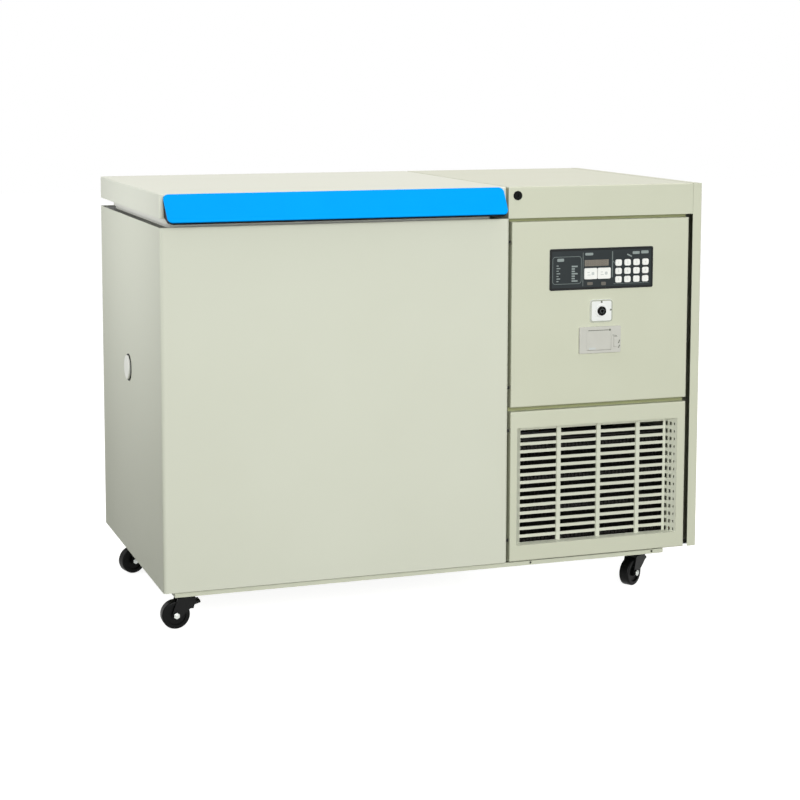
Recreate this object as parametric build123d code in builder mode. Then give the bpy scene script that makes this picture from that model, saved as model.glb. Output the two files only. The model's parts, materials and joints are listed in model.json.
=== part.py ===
from build123d import *
from math import cos, hypot, radians, sin
import os

os.makedirs("parts", exist_ok=True)

# An ultra low temperature chest freezer. An insulated chest with a hinged lid stands on the
# left, the machine compartment on the right, and one steel frame on four casters carries both.
# The origin is on the floor, under the middle of the whole object. +Z is up, -Y is the front.

# Cabinet
chest_w = 806.0          # insulated chest, left to right
seam = 6.0               # gap between the chest and the front panels
panel_w = 450.0          # control panel and grille panel
shadow_gap = 10.0        # deep gap at the right of the panels
flange_w = 23.0          # folded front edge of the side panel
cabinet_d = 690.0
body_h = 798.0           # from the underside of the cabinet to the rim
lid_gap = 20.0           # filled by the gasket
lid_in = 7.0             # the lid is this much narrower than the chest
lid_h = 52.0
cover_gap = 4.0          # between the lid and the machine cover
cover_end = 0.5          # between the cover and the side panel
corner_r = 8.0
edge_r = 3.0
sheet = 1.2              # painted steel sheet
clear = 0.3              # between pieces that move past each other
slip = 0.05              # round a pin in its hole

# Chamber and its wall
wall_x = 148.0           # insulated walls: left and right, front and back, and the bottom
wall_y = 115.0
wall_z = 138.0
chamber_r = 30.0
liner_t = 1.5
rim_t = 4.0
rim_drop = 3.0           # the rim lies this far below the top edge of the shell
plug_h = 60.0            # how far the lid's plug reaches into the mouth
plug_clear = 8.0
lid_liner_t = 3.0

# Evaporator tube round the liner
coil_d = 9.5
coil_pitch = 56.0
coil_low = 82.5          # first turn above the chamber floor
coil_space = 0.5
coil_bend = 38.0
tail_y = 110.0           # the two ends leave the chest this far from its middle

# Gasket
gasket_w = 22.0
gasket_side = 20.0       # set in from the side of the lid
gasket_front = 26.0
gasket_back = 50.0
gasket_foot = 8.0        # height of its narrower lower part
gasket_step = 5.0

# Lid handle
handle_out = 42.0        # how far its lower edge stands out
handle_x0 = 7.0          # from the left side of the lid
handle_x1 = 10.0         # from its right side
handle_top = 0.3         # below the lid's top
handle_drop = 57.0       # height of the blue cover
handle_t = 3.0
handle_taper = 3.0
core_t = 3.0
core_lip = 2.5           # black edge seen under the cover
core_inset = 1.0
handle_r = 12.0          # its two lower corners
handle_leg = 46.0        # height of the leg on the lid's face

# Hinges
hinge_pitch = 280.0
hinge_w = 60.0
hinge_plate = 3.0
hinge_r = 8.0            # knuckle
hinge_axis_y = 12.0      # behind the cabinet
knuckle_w = 24.0         # the arm's knuckle, between the bracket's two
pin_r = 3.0
pin_head = 2.0
bracket_h = 60.0
arm_h = 42.0
web_t = 8.0

# Access port in the left wall
port_y = 13.0            # behind the middle of the chest
port_z = 444.5           # above the underside of the cabinet
port_bore = 35.0
port_tube_t = 2.5
port_flange_d = 63.0
port_flange_t = 1.5
cap_d = 56.0
cap_out = 6.0            # how far the cap stands out of the cabinet
cap_plug = 25.0

# Casters and frame
wheel_d = 63.0
wheel_w = 25.0
caster_h = 78.0
trail = 25.0
fork_t = 3.0
fork_gap = 1.0           # each side of the wheel
plate_t = 3.0
head_h = 5.0             # swivel head under the plate
head_r = 19.0
king_r = 5.0
axle_r = 4.0
plate_w = 60.0
plate_d = 46.0
frame_h = 14.0
lip_gap = 4.0            # the front wall of the frame stops this far below the cabinet
frame_x0 = 27.0          # from the left side of the cabinet
frame_x1 = 81.0          # from its right side
frame_y0 = 12.0          # behind the front face
frame_y1 = 100.0         # before the back face
rail_w = 50.0
rail_t = 2.0
caster_left = 33.0       # from the left end of the frame to the swivel axis
caster_right = 53.0      # from its right end
caster_front = 38.0      # from the front of the frame to the swivel axis
caster_back = 50.0

# Front panels of the machine compartment
panel_return = 18.0
split_low = 352.0        # top of the grille panel, above the underside of the cabinet
split_gap = 10.0
strip_gap = 8.0          # between the control panel and the cover strip
strip_h = 72.0           # height of the cover strip
post_w = 13.0
post_d = 20.0
mid_rail_t = 3.0
pan_t = 2.0
back_lap = 10.0          # the back panel reaches this far up inside the cover

# Grille
grille_x0 = 17.0         # from the left edge of the panel
grille_w = 411.0
grille_z0 = 37.5
grille_z1 = 39.0         # from the top edge of its panel
grille_depth = 25.0
grille_run = 18.0        # slope of its two side walls
grille_t = 2.5
grille_rim = 7.0
slot_w = 92.0
slot_h = 11.0
slot_pitch = 18.18
slot_first = 5.7         # middle of the lowest row, above the lower edge of the grille
bar_w = 10.0
bar_out = 2.5
last_slot_w = 63.0
wall_slot_w = 4.2        # the side wall's slots grow shorter and narrower outwards
wall_slot_in = 15.5      # middle of the inner one, from the right edge of the grille
wall_slot_pitch = 6.2
wall_slot_less = 0.8

# Refrigeration
fin_t = 0.6
fin_pitch = 9.6
fin_count = 42
fin_in = 30.0            # from the left edge of the panels to the first fin
condenser_d = 44.0
condenser_y = 60.0       # its front, behind the front face
condenser_z1 = 80.0      # from its top to the top of the grille panel
tube_r = 4.75
tube_rows = 7            # in turn in the front and in the rear
tube_low = 30.5          # lowest row, above the underside of the cabinet
tube_high = 21.0         # highest row, below the top of the fins
riser_h = 40.0
fan_room = 60.0          # the fan is this much smaller than the condenser is high
fan_gap = 4.0
fan_depth = 24.0
hub_r = 26.0
blade_count = 5
blade_w = 56.0
blade_t = 2.0
blade_turn = 22.0
shroud_d = 46.0
shroud_t = 1.5
ring_d = 30.0
strut_w = 10.0
strut_t = 3.0
shaft_r = 4.0
shaft_in = 18.0          # how far the shaft reaches into the motor
motor_r = 42.0
motor_l = 60.0
compressor_r = 92.0
compressor_h = 235.0
compressor_x = 113.0     # the left one, from the left edge of the panels
compressor_pitch = 240.0
compressor_y = 160.0     # before the heat exchanger
compressor_dome = 40.0
grommet_h = 18.0
grommet_r = 13.0
feet_w = 190.0
feet_d = 160.0
feet_t = 4.0
exchanger_x = 18.0       # from the left edge of the panels
exchanger_y = 30.0       # before the back face
exchanger_w = 150.0
exchanger_d = 100.0
exchanger_h = 330.0
drier_r = 20.0
drier_l = 130.0
drier_low = 56.0
pipe_r = 4.0
pipe_bend = 10.0

# Electrics
box_d = 122.0
box_gap = 20.0           # below and above the electrical box
board_w = 220.0
board_h = 250.0
board_t = 1.6
stand_off = 10.0
inlet_w = 60.0
inlet_h = 40.0
inlet_out = 1.5
inlet_in = 32.0
inlet_x = 60.0           # from the inside of the side panel
inlet_z = 120.0          # above the pan

# Control panel fittings
display_x = 93.5         # from the left edge of the panel
display_drop = 65.0      # below the top of the panel
display_w = 263.0
display_h = 96.0
bezel_out = 1.5
bezel_edge = 4.0
bezel_depth = 8.0
bezel_plate = 3.0
key_w = 16.2
key_h = 14.6
key_r = 4.0
key_pitch_x = 23.0
key_pitch_z = 19.5
key_first_x = 174.1      # middle of the first column, from the display's left edge
key_first_z = 20.9       # middle of the lowest row, from the display's lower edge
key_out = 0.9
key_travel = 0.6
key_web = 1.5
func_w = 33.2
func_h = 25.6
func_x = 103.5
func_pitch = 33.9
func_z = 36.6
func_flange = 2.0
window_w = 61.0
window_h = 14.5
window_x = 118.4
window_z = 61.2
switch_x = 224.9         # middle of the key switch, from the left edge of the panel
switch_z = 51.2          # below the display
switch_w = 57.8
switch_h = 53.0
switch_t = 3.0
barrel_r = 10.5
barrel_out = 4.0
sleeve_r = 9.5
sleeve_l = 28.0
recorder_x = 169.0
recorder_z = 149.5       # its lower edge, below the display
recorder_w = 105.5
recorder_h = 62.0
recorder_out = 5.0
door_w = 62.0
door_in = 18.6
door_low = 6.9
door_h = 46.3
door_t = 2.5
rocker_w = 9.0
rocker_h = 24.0
rocker_in = 13.5         # its middle, from the right edge of the recorder
rocker_low = 25.0        # its middle, from the lower edge of the recorder
rocker_t = 4.0
recorder_body_d = 40.0
hinge_pin_r = 1.0

# Lid lock
lock_x = 22.0            # from the left edge of the machine cover
lock_z = 20.0            # below the top
lock_r = 10.5
lock_out = 3.0
lock_sleeve_r = 9.0
lock_sleeve_l = 20.0
plug_r = 6.0
cam_t = 2.5
cam_w = 12.0
cam_l = 34.0
lock_turn = 60.0         # from free to locked
pocket_d = 7.5           # in the lid, past its side sheet

# Derived places
cabinet_w = chest_w + seam + panel_w + shadow_gap + flange_w
hinge_out = hinge_axis_y + hinge_r
left = (cap_out - cabinet_w) / 2
right = left + cabinet_w
front = (handle_out - cabinet_d - hinge_out) / 2
back = front + cabinet_d
mid_y = (front + back) / 2
base_z = caster_h + frame_h
rim_z = base_z + body_h
lid_z = rim_z + lid_gap
top_z = lid_z + lid_h
chest_x1 = left + chest_w
chest_x = left + chest_w / 2
panel_x0 = chest_x1 + seam
panel_x1 = panel_x0 + panel_w
flange_x0 = panel_x1 + shadow_gap
lid_w = chest_w - lid_in
lid_x1 = left + lid_w
cover_x0 = lid_x1 + cover_gap
chamber_w = chest_w - 2 * wall_x
chamber_d = cabinet_d - 2 * wall_y
chamber_h = body_h - plug_h - wall_z
floor_z = rim_z - plug_h - chamber_h
liner_top = rim_z - rim_drop - rim_t
split_z0 = base_z + split_low
split_z1 = split_z0 + split_gap
strip_z = top_z - strip_h
panel_top = strip_z - strip_gap


def block(x0, x1, y0, y1, z0, z1, mode=Mode.ADD):
    """A box between two x, two y and two z values, in the part being made."""
    with Locations(((x0 + x1) / 2, (y0 + y1) / 2, (z0 + z1) / 2)):
        return Box(x1 - x0, y1 - y0, z1 - z0, mode=mode)


def face_plane(y):
    """A sketch plane facing the front, with its x to the right and its y up."""
    return Plane((0, y, 0), x_dir=(1, 0, 0), z_dir=(0, -1, 0))


def side_plane(x):
    """A sketch plane facing the left, with its x to the front and its y up."""
    return Plane((x, 0, 0), x_dir=(0, -1, 0), z_dir=(-1, 0, 0))


# The chest

port_spot = (-(mid_y + port_y), base_z + port_z)
coil_r = coil_d / 2
coil_x = chamber_w / 2 + liner_t + coil_space + coil_r
coil_y = chamber_d / 2 + liner_t + coil_space + coil_r
coil_turns = int((chamber_h - 2 * coil_low) / coil_pitch)
coil_z0 = floor_z + coil_low
coil_z1 = coil_z0 + coil_turns * coil_pitch

with BuildPart() as chest_shell:
    with BuildSketch(Plane.XY.offset(base_z)):
        with Locations((chest_x, mid_y)):
            RectangleRounded(chest_w, cabinet_d, corner_r)
    extrude(amount=body_h)
    offset(amount=-sheet, openings=chest_shell.faces().sort_by(Axis.Z)[-1])
    # port hole in the left wall
    with BuildSketch(side_plane(left + 2 * sheet)):
        with Locations(port_spot):
            Circle(port_bore / 2 + port_tube_t)
    extrude(amount=3 * sheet, mode=Mode.SUBTRACT)
    # two holes in the right wall, for the ends of the evaporator tube
    with BuildSketch(side_plane(chest_x1 + sheet)):
        with Locations((-(mid_y - tail_y), coil_z0), (-(mid_y + tail_y), coil_z1)):
            Circle(coil_r + coil_space)
    extrude(amount=3 * sheet, mode=Mode.SUBTRACT)
chest_shell.part.label = "chest_shell"
export_step(chest_shell.part, "parts/chest_shell.step")

with BuildPart() as chest_liner:
    with BuildSketch(Plane.XY.offset(floor_z - liner_t)):
        with Locations((chest_x, mid_y)):
            RectangleRounded(chamber_w + 2 * liner_t, chamber_d + 2 * liner_t, chamber_r + liner_t)
    extrude(amount=liner_top - floor_z + liner_t)
    offset(amount=-liner_t, openings=chest_liner.faces().sort_by(Axis.Z)[-1])
    with BuildSketch(side_plane(chest_x - chamber_w / 2 + liner_t)):
        with Locations(port_spot):
            Circle(port_bore / 2 + port_tube_t)
    extrude(amount=3 * liner_t, mode=Mode.SUBTRACT)
chest_liner.part.label = "chest_liner"
export_step(chest_liner.part, "parts/chest_liner.step")

with BuildPart() as chest_insulation:
    with BuildSketch(Plane.XY.offset(base_z + sheet)):
        with Locations((chest_x, mid_y)):
            RectangleRounded(chest_w - 2 * sheet, cabinet_d - 2 * sheet, corner_r - sheet)
    extrude(amount=liner_top - base_z - sheet)
    with BuildSketch(Plane.XY.offset(floor_z - liner_t)):
        with Locations((chest_x, mid_y)):
            RectangleRounded(chamber_w + 2 * liner_t, chamber_d + 2 * liner_t, chamber_r + liner_t)
    extrude(amount=liner_top - floor_z + liner_t, mode=Mode.SUBTRACT)
    # the foam stops short of the liner where the tube is wound
    with BuildSketch(Plane.XY.offset(coil_z0 - 2 * coil_d)):
        with Locations((chest_x, mid_y)):
            RectangleRounded(2 * (coil_x + coil_r), 2 * (coil_y + coil_r), coil_bend + coil_r)
    extrude(amount=coil_z1 - coil_z0 + 4 * coil_d, mode=Mode.SUBTRACT)
    # channels for the two ends of the tube
    tail_x0 = chest_x + coil_x - coil_bend
    block(tail_x0, chest_x1, mid_y - tail_y - coil_d, mid_y - tail_y + coil_bend + coil_d,
          coil_z0 - coil_d, coil_z0 + coil_d, mode=Mode.SUBTRACT)
    block(tail_x0, chest_x1, mid_y + tail_y - coil_bend - coil_d, mid_y + tail_y + coil_d,
          coil_z1 - coil_d, coil_z1 + coil_d, mode=Mode.SUBTRACT)
    with BuildSketch(side_plane(chest_x)):
        with Locations(port_spot):
            Circle(port_bore / 2 + port_tube_t)
    extrude(amount=chest_w, mode=Mode.SUBTRACT)
chest_insulation.part.label = "chest_insulation"
export_step(chest_insulation.part, "parts/chest_insulation.step")

with BuildPart() as chest_rim:
    with BuildSketch(Plane.XY.offset(liner_top)):
        with Locations((chest_x, mid_y)):
            RectangleRounded(chest_w - 2 * sheet, cabinet_d - 2 * sheet, corner_r - sheet)
            RectangleRounded(chamber_w, chamber_d, chamber_r, mode=Mode.SUBTRACT)
    extrude(amount=rim_t)
chest_rim.part.label = "chest_rim"
export_step(chest_rim.part, "parts/chest_rim.step")


def coil_route():
    """Corners of the evaporator tube: in at the right, round the liner, and out at the right."""
    lift = coil_pitch / 4
    points = [(chest_x1 + 2 * coil_d, mid_y - tail_y, coil_z0)]
    points.append((chest_x + coil_x, mid_y - tail_y, coil_z0))
    corners = [(coil_x, coil_y), (-coil_x, coil_y), (-coil_x, -coil_y), (coil_x, -coil_y)]
    for turn in range(coil_turns):
        for number, (dx, dy) in enumerate(corners):
            height = coil_z0 + turn * coil_pitch + (number + 0.5) * lift
            points.append((chest_x + dx, mid_y + dy, height))
    points.append((chest_x + coil_x, mid_y + tail_y, coil_z1))
    points.append((chest_x1 + 2 * coil_d, mid_y + tail_y, coil_z1))
    return points


with BuildPart() as evaporator_coil:
    with BuildLine() as coil_line:
        FilletPolyline(*coil_route(), radius=coil_bend)
    with BuildSketch(Plane(coil_line.line @ 0, z_dir=coil_line.line % 0)):
        Circle(coil_r)
    sweep(path=coil_line.line)
evaporator_coil.part.label = "evaporator_coil"
export_step(evaporator_coil.part, "parts/evaporator_coil.step")

port_inner = chest_x - chamber_w / 2

with BuildPart() as port_tube:
    with BuildSketch(side_plane(port_inner)):
        with Locations(port_spot):
            Circle(port_bore / 2 + port_tube_t)
            Circle(port_bore / 2, mode=Mode.SUBTRACT)
    extrude(amount=port_inner - left)
    with BuildSketch(side_plane(left)):
        with Locations(port_spot):
            Circle(port_flange_d / 2)
            Circle(port_bore / 2, mode=Mode.SUBTRACT)
    extrude(amount=port_flange_t)
port_tube.part.label = "port_tube"
export_step(port_tube.part, "parts/port_tube.step")

with BuildPart() as port_cap:
    with BuildSketch(side_plane(left - port_flange_t - clear)):
        with Locations(port_spot):
            Circle(cap_d / 2)
    extrude(amount=cap_out - port_flange_t - clear)
    fillet(port_cap.faces().sort_by(Axis.X)[0].edges(), radius=2)
    with BuildSketch(side_plane(left - port_flange_t - clear)):
        with Locations(port_spot):
            Circle(port_bore / 2 - clear)
    extrude(amount=-cap_plug)
port_cap.part.label = "port_cap"
export_step(port_cap.part, "parts/port_cap.step")

# The frame under the cabinet

frame_left = left + frame_x0
frame_right = right - frame_x1
frame_front = front + frame_y0
frame_back = back - frame_y1


def rail(x0, x1, y0, y1, walls_x):
    """A channel with its web down and its two walls up."""
    block(x0, x1, y0, y1, caster_h, caster_h + rail_t)
    if walls_x:
        block(x0, x0 + rail_t, y0, y1, caster_h, base_z)
        block(x1 - rail_t, x1, y0, y1, caster_h, base_z)
    else:
        block(x0, x1, y0, y0 + rail_t, caster_h, base_z)
        block(x0, x1, y1 - rail_t, y1, caster_h, base_z)


with BuildPart() as base_frame:
    for x in (frame_left, chest_x1 - rail_w / 2, frame_right - rail_w):
        rail(x, x + rail_w, frame_front, frame_back, True)
    rail(frame_left, frame_right, frame_front, frame_front + rail_w, False)
    rail(frame_left, frame_right, frame_back - rail_w, frame_back, False)
    # the front wall is lower, with two screw holes in it
    block(frame_left - rail_t, frame_right + rail_t, frame_front - rail_t, frame_front + rail_t,
          base_z - lip_gap, base_z, mode=Mode.SUBTRACT)
    lip_mid = (caster_h + base_z - lip_gap) / 2
    with BuildSketch(face_plane(frame_front)):
        with Locations((panel_x0 + 58, lip_mid), (frame_right - 30, lip_mid)):
            Circle(3)
    extrude(amount=-rail_t, mode=Mode.SUBTRACT)
base_frame.part.label = "base_frame"
export_step(base_frame.part, "parts/base_frame.step")

# Casters. Each is made at the origin, trailing towards +X, and then turned and placed.

caster_spots = {
    "front_left": (frame_left + caster_left, frame_front + caster_front, 180),
    "front_right": (frame_right - caster_right, frame_front + caster_front, 213),
    "back_left": (frame_left + caster_left, frame_back - caster_back, 196),
    "back_right": (frame_right - caster_right, frame_back - caster_back, 168),
}
axle_z = wheel_d / 2
head_z = caster_h - plate_t - head_h
fork_top = head_z - clear
leg_in = wheel_w / 2 + fork_gap
leg_out = leg_in + fork_t

with BuildPart() as caster_plate:
    with BuildSketch(Plane.XY.offset(caster_h - plate_t)):
        RectangleRounded(plate_w, plate_d, 5)
        with GridLocations(plate_w - 16, plate_d - 14, 2, 2):
            Circle(3.2, mode=Mode.SUBTRACT)
    extrude(amount=plate_t)
    with BuildSketch(Plane.XY.offset(head_z)):
        Circle(head_r)
    extrude(amount=head_h)
    # king pin and its riveted head
    with BuildSketch(Plane.XY.offset(head_z)):
        Circle(king_r)
    extrude(amount=-(clear + fork_t + clear))
    with BuildSketch(Plane.XY.offset(fork_top - fork_t - clear)):
        Circle(king_r + 2.5)
    extrude(amount=-3)

with BuildPart() as caster_plates:
    for x, y, angle in caster_spots.values():
        add(caster_plate.part.moved(Location((x, y, 0))))
caster_plates.part.label = "caster_plates"
export_step(caster_plates.part, "parts/caster_plates.step")

with BuildPart() as fork:
    with BuildSketch(Plane.XY.offset(fork_top - fork_t)):
        with Locations((2, 0)):
            RectangleRounded(40, 2 * leg_out, 4)
        Circle(king_r + slip, mode=Mode.SUBTRACT)
    extrude(amount=fork_t)
    for side in (leg_in, -leg_out):
        with BuildSketch(Plane.XZ.offset(side)):
            with BuildLine():
                Polyline((-18, fork_top), (22, fork_top), (trail + 9, axle_z + 3),
                         (trail + 9, axle_z - 6), (trail - 9, axle_z - 6), (-18, fork_top - 14), close=True)
            make_face()
        extrude(amount=fork_t)
    # axle with its two heads
    with BuildSketch(Plane.XZ.offset(-leg_out - 3)):
        with Locations((trail, axle_z)):
            RegularPolygon(6.5, 6)
    extrude(amount=3)
    with BuildSketch(Plane.XZ.offset(leg_out)):
        with Locations((trail, axle_z)):
            RegularPolygon(6.5, 6)
    extrude(amount=3)
    with BuildSketch(Plane.XZ.offset(-leg_out)):
        with Locations((trail, axle_z)):
            Circle(axle_r)
    extrude(amount=2 * leg_out)

with BuildPart() as wheel:
    with BuildSketch(Plane.XZ.offset(-wheel_w / 2)):
        with Locations((trail, axle_z)):
            Circle(wheel_d / 2)
    extrude(amount=wheel_w)
    fillet(wheel.edges().filter_by(GeomType.CIRCLE), radius=4)
    for side in (-wheel_w / 2, wheel_w / 2 - 4):
        with BuildSketch(Plane.XZ.offset(side)):
            with Locations((trail, axle_z)):
                Circle(wheel_d / 2 - 9)
                Circle(9, mode=Mode.SUBTRACT)
        extrude(amount=4, mode=Mode.SUBTRACT)
    with BuildSketch(Plane.XZ.offset(-wheel_w / 2)):
        with Locations((trail, axle_z)):
            Circle(axle_r + slip)
    extrude(amount=wheel_w, mode=Mode.SUBTRACT)

pedal_pin = (-9.0, 50.0)
pedal_w = 2 * leg_in - 2 * clear

with BuildPart() as pedal:
    with BuildSketch(Plane.XZ.offset(-pedal_w / 2)):
        with BuildLine():
            Polyline((-14, 44), (-5, 44), (-5, 54), (-15, 58), (-29, 61), (-30, 56), (-16, 52), close=True)
        make_face()
    extrude(amount=pedal_w)
    with BuildSketch(Plane.XZ.offset(-pedal_w / 2)):
        with Locations(pedal_pin):
            Circle(2 + slip)
    extrude(amount=pedal_w, mode=Mode.SUBTRACT)

with BuildPart() as fork_braked:
    add(fork.part)
    with BuildSketch(Plane.XZ.offset(-leg_out)):
        with Locations(pedal_pin):
            Circle(2)
    extrude(amount=2 * leg_out)

for name, (x, y, angle) in caster_spots.items():
    place = Location((x, y, 0), (0, 0, angle))
    braked = name.startswith("front")
    caster_fork = (fork_braked if braked else fork).part.moved(place)
    caster_fork.label = f"fork_{name}"
    export_step(caster_fork, f"parts/fork_{name}.step")
    caster_wheel = wheel.part.moved(place)
    caster_wheel.label = f"wheel_{name}"
    export_step(caster_wheel, f"parts/wheel_{name}.step")
    if braked:
        caster_pedal = pedal.part.moved(place)
        caster_pedal.label = f"brake_pedal_{name}"
        export_step(caster_pedal, f"parts/brake_pedal_{name}.step")

# The machine compartment: sheet metal

cover_x1 = flange_x0 - cover_end
post_y0 = front + panel_return
post_y1 = post_y0 + post_d
inner_x0 = chest_x1 + clear
inner_x1 = right - sheet
back_y = back - 2 * sheet
pan_z = base_z + pan_t

with BuildPart() as base_pan:
    block(inner_x0, inner_x1, post_y0, back_y, base_z, pan_z)
base_pan.part.label = "base_pan"
export_step(base_pan.part, "parts/base_pan.step")

with BuildPart() as side_panel:
    block(right - flange_w, right, front, back, base_z, top_z)
    fillet(side_panel.faces().sort_by(Axis.X)[-1].edges().sort_by(Axis.Z)[1:], radius=edge_r)
    offset(amount=-sheet, openings=[side_panel.faces().sort_by(Axis.X)[0],
                                    side_panel.faces().sort_by(Axis.Z)[0]])
side_panel.part.label = "side_panel"
export_step(side_panel.part, "parts/side_panel.step")

inlet_spot = (inner_x1 - inlet_x, pan_z + inlet_z)

with BuildPart() as back_panel:
    block(inner_x0, inner_x1 - edge_r, back_y, back - sheet, base_z, rim_z)
    block(inner_x0, cover_x1 - sheet, back_y, back - sheet, rim_z, rim_z + back_lap)
    # louvres
    with BuildSketch(face_plane(back)):
        with Locations(((inner_x0 + inner_x1) / 2, base_z + body_h * 0.6)):
            with GridLocations(110, 16, 3, 16):
                SlotOverall(90, 6)
        with Locations(inlet_spot):
            Rectangle(inlet_w - 12, inlet_h - 12)
    extrude(amount=3 * sheet, mode=Mode.SUBTRACT)
back_panel.part.label = "back_panel"
export_step(back_panel.part, "parts/back_panel.step")

# The lid lock turns a cam through the side of the cover into a pocket in the lid
lock_axis_x = cover_x0 + lock_x
lock_axis_z = top_z - lock_z
cam_y0 = front + lock_sleeve_l + clear
cam_reach = hypot(cam_l, cam_w / 2)


def sweep_low(wall):
    """How far below its axis the turning cam crosses a wall at this distance."""
    return (cam_reach ** 2 - wall ** 2) ** 0.5 + 3 * clear


def sweep_high(wall):
    """How far below its axis the locked cam's upper side crosses a wall at this distance."""
    along = (wall - cam_w / 2 * cos(radians(lock_turn))) / sin(radians(lock_turn))
    return along * cos(radians(lock_turn)) - cam_w / 2 * sin(radians(lock_turn)) - 3 * clear


cover_wall = lock_x - sheet
lid_wall = lock_x + cover_gap

with BuildPart() as top_cover:
    block(cover_x0, cover_x1, front, back, strip_z, top_z)
    fillet(top_cover.faces().sort_by(Axis.Z)[-1].edges(), radius=edge_r)
    offset(amount=-sheet, openings=top_cover.faces().sort_by(Axis.Z)[0])
    # fold under the front strip, which rests on the posts
    block(cover_x0 + sheet, cover_x1 - sheet, front + sheet, post_y1, strip_z, strip_z + sheet)
    with BuildSketch(face_plane(front + sheet)):
        with Locations((lock_axis_x, lock_axis_z)):
            Circle(lock_sleeve_r)
    extrude(amount=2 * sheet, mode=Mode.SUBTRACT)
    block(cover_x0 - sheet, cover_x0 + 2 * sheet, cam_y0 - 3 * clear, cam_y0 + cam_t + 3 * clear,
          lock_axis_z - sweep_low(cover_wall), lock_axis_z - sweep_high(cover_wall), mode=Mode.SUBTRACT)
top_cover.part.label = "top_cover"
export_step(top_cover.part, "parts/top_cover.step")

with BuildPart() as panel_frame:
    for x in (panel_x0, panel_x1 - post_w):
        block(x, x + post_w, post_y0, post_y1, pan_z, strip_z)
    for z0, z1 in ((pan_z, pan_z + post_w), (split_z0 - post_w, split_z1 + post_w),
                   (panel_top - post_w, strip_z)):
        block(panel_x0, panel_x1, post_y0, post_y0 + mid_rail_t, z0, z1)
panel_frame.part.label = "panel_frame"
export_step(panel_frame.part, "parts/panel_frame.step")

# The grille panel and its moulded grille

grille_left = panel_x0 + grille_x0
grille_right = grille_left + grille_w
grille_low = base_z + grille_z0
grille_high = split_z0 - grille_z1
grille_h = grille_high - grille_low
slot_rows = int(grille_h / slot_pitch)
grille_y0 = front + sheet
grille_y1 = front + grille_depth

with BuildPart() as grille_panel:
    block(panel_x0, panel_x1, front, post_y0, base_z, split_z0)
    fillet(grille_panel.faces().sort_by(Axis.Y)[0].edges(), radius=edge_r)
    offset(amount=-sheet, openings=grille_panel.faces().sort_by(Axis.Y)[-1])
    block(grille_left - clear, grille_right + clear, front - sheet, front + 2 * sheet,
          grille_low - clear, grille_high + clear, mode=Mode.SUBTRACT)
grille_panel.part.label = "grille_panel"
export_step(grille_panel.part, "parts/grille_panel.step")

with BuildPart() as grille:
    block(grille_left - grille_rim, grille_right + grille_rim, grille_y0, grille_y0 + grille_t,
          grille_low - grille_rim, grille_high + grille_rim)
    with BuildSketch(Plane.XY.offset(grille_low - grille_t)):
        with BuildLine():
            Polyline((grille_left - grille_t, grille_y0), (grille_left + grille_run - grille_t, grille_y1 + grille_t),
                     (grille_right - grille_run + grille_t, grille_y1 + grille_t),
                     (grille_right + grille_t, grille_y0), close=True)
        make_face()
    extrude(amount=grille_h + 2 * grille_t)
    with BuildSketch(Plane.XY.offset(grille_low)):
        with BuildLine():
            Polyline((grille_left, grille_y0), (grille_left + grille_run, grille_y1),
                     (grille_right - grille_run, grille_y1), (grille_right, grille_y0), close=True)
        make_face()
    extrude(amount=grille_h, mode=Mode.SUBTRACT)
    # three upright bars stand a little proud of the floor
    for column in range(3):
        x = grille_left + grille_run + (column + 1) * (slot_w + bar_w)
        block(x - bar_w, x, grille_y1 - bar_out, grille_y1, grille_low, grille_high)
    with BuildSketch(face_plane(grille_y1 + 2 * grille_t)):
        for row in range(slot_rows):
            z = grille_low + slot_first + row * slot_pitch
            for column in range(3):
                x = grille_left + grille_run + column * (slot_w + bar_w)
                with Locations((x + slot_w / 2, z)):
                    Rectangle(slot_w - 2 * clear, slot_h)
            x = grille_left + grille_run + 3 * (slot_w + bar_w)
            with Locations((x + last_slot_w / 2, z)):
                Rectangle(last_slot_w, slot_h)
            for number in range(3):
                with Locations((grille_right - wall_slot_in + number * wall_slot_pitch, z)):
                    Rectangle(wall_slot_w - number * wall_slot_less, slot_h - 3 * number * wall_slot_less)
    extrude(amount=grille_depth, mode=Mode.SUBTRACT)
grille.part.label = "grille"
export_step(grille.part, "parts/grille.step")

# The refrigeration system

fin_x0 = panel_x0 + fin_in
fin_x1 = fin_x0 + (fin_count - 1) * fin_pitch
cond_y0 = front + condenser_y
cond_y1 = cond_y0 + condenser_d
cond_z1 = split_z0 - condenser_z1
condenser_h = cond_z1 - pan_z
tube_pitch = (cond_z1 - tube_high - base_z - tube_low) / (tube_rows - 1)
tube_bend = 0.46 * hypot(condenser_d / 2, tube_pitch)
fan_d = condenser_h - fan_room
tube_y = (cond_y0 + condenser_d / 4, cond_y1 - condenser_d / 4)
lane_x0 = fin_x0 - tube_bend
lane_x1 = fin_x1 + tube_bend


def condenser_route():
    """Corners of the condenser tube, from the riser at the left down to the outlet at the right."""
    points = [(lane_x0, tube_y[0], cond_z1 + riser_h)]
    for row in range(tube_rows):
        height = base_z + tube_low + (tube_rows - 1 - row) * tube_pitch
        ends = (lane_x0, lane_x1) if row % 2 == 0 else (lane_x1, lane_x0)
        points += [(x, tube_y[row % 2], height) for x in ends]
    return points


with BuildPart() as condenser:
    with BuildLine() as tube_line:
        FilletPolyline(*condenser_route(), radius=tube_bend)
    with BuildSketch(Plane(tube_line.line @ 0, z_dir=tube_line.line % 0)):
        Circle(tube_r)
    sweep(path=tube_line.line)
    with Locations(((fin_x0 + fin_x1) / 2, (cond_y0 + cond_y1) / 2, (pan_z + cond_z1) / 2)):
        with GridLocations(fin_pitch, condenser_d, fin_count, 1):
            Box(fin_t, condenser_d, condenser_h)
    for z in (pan_z, cond_z1 - shroud_t):
        block(fin_x0, fin_x1, cond_y0, cond_y1, z, z + shroud_t)
condenser.part.label = "condenser"
export_step(condenser.part, "parts/condenser.step")

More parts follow.
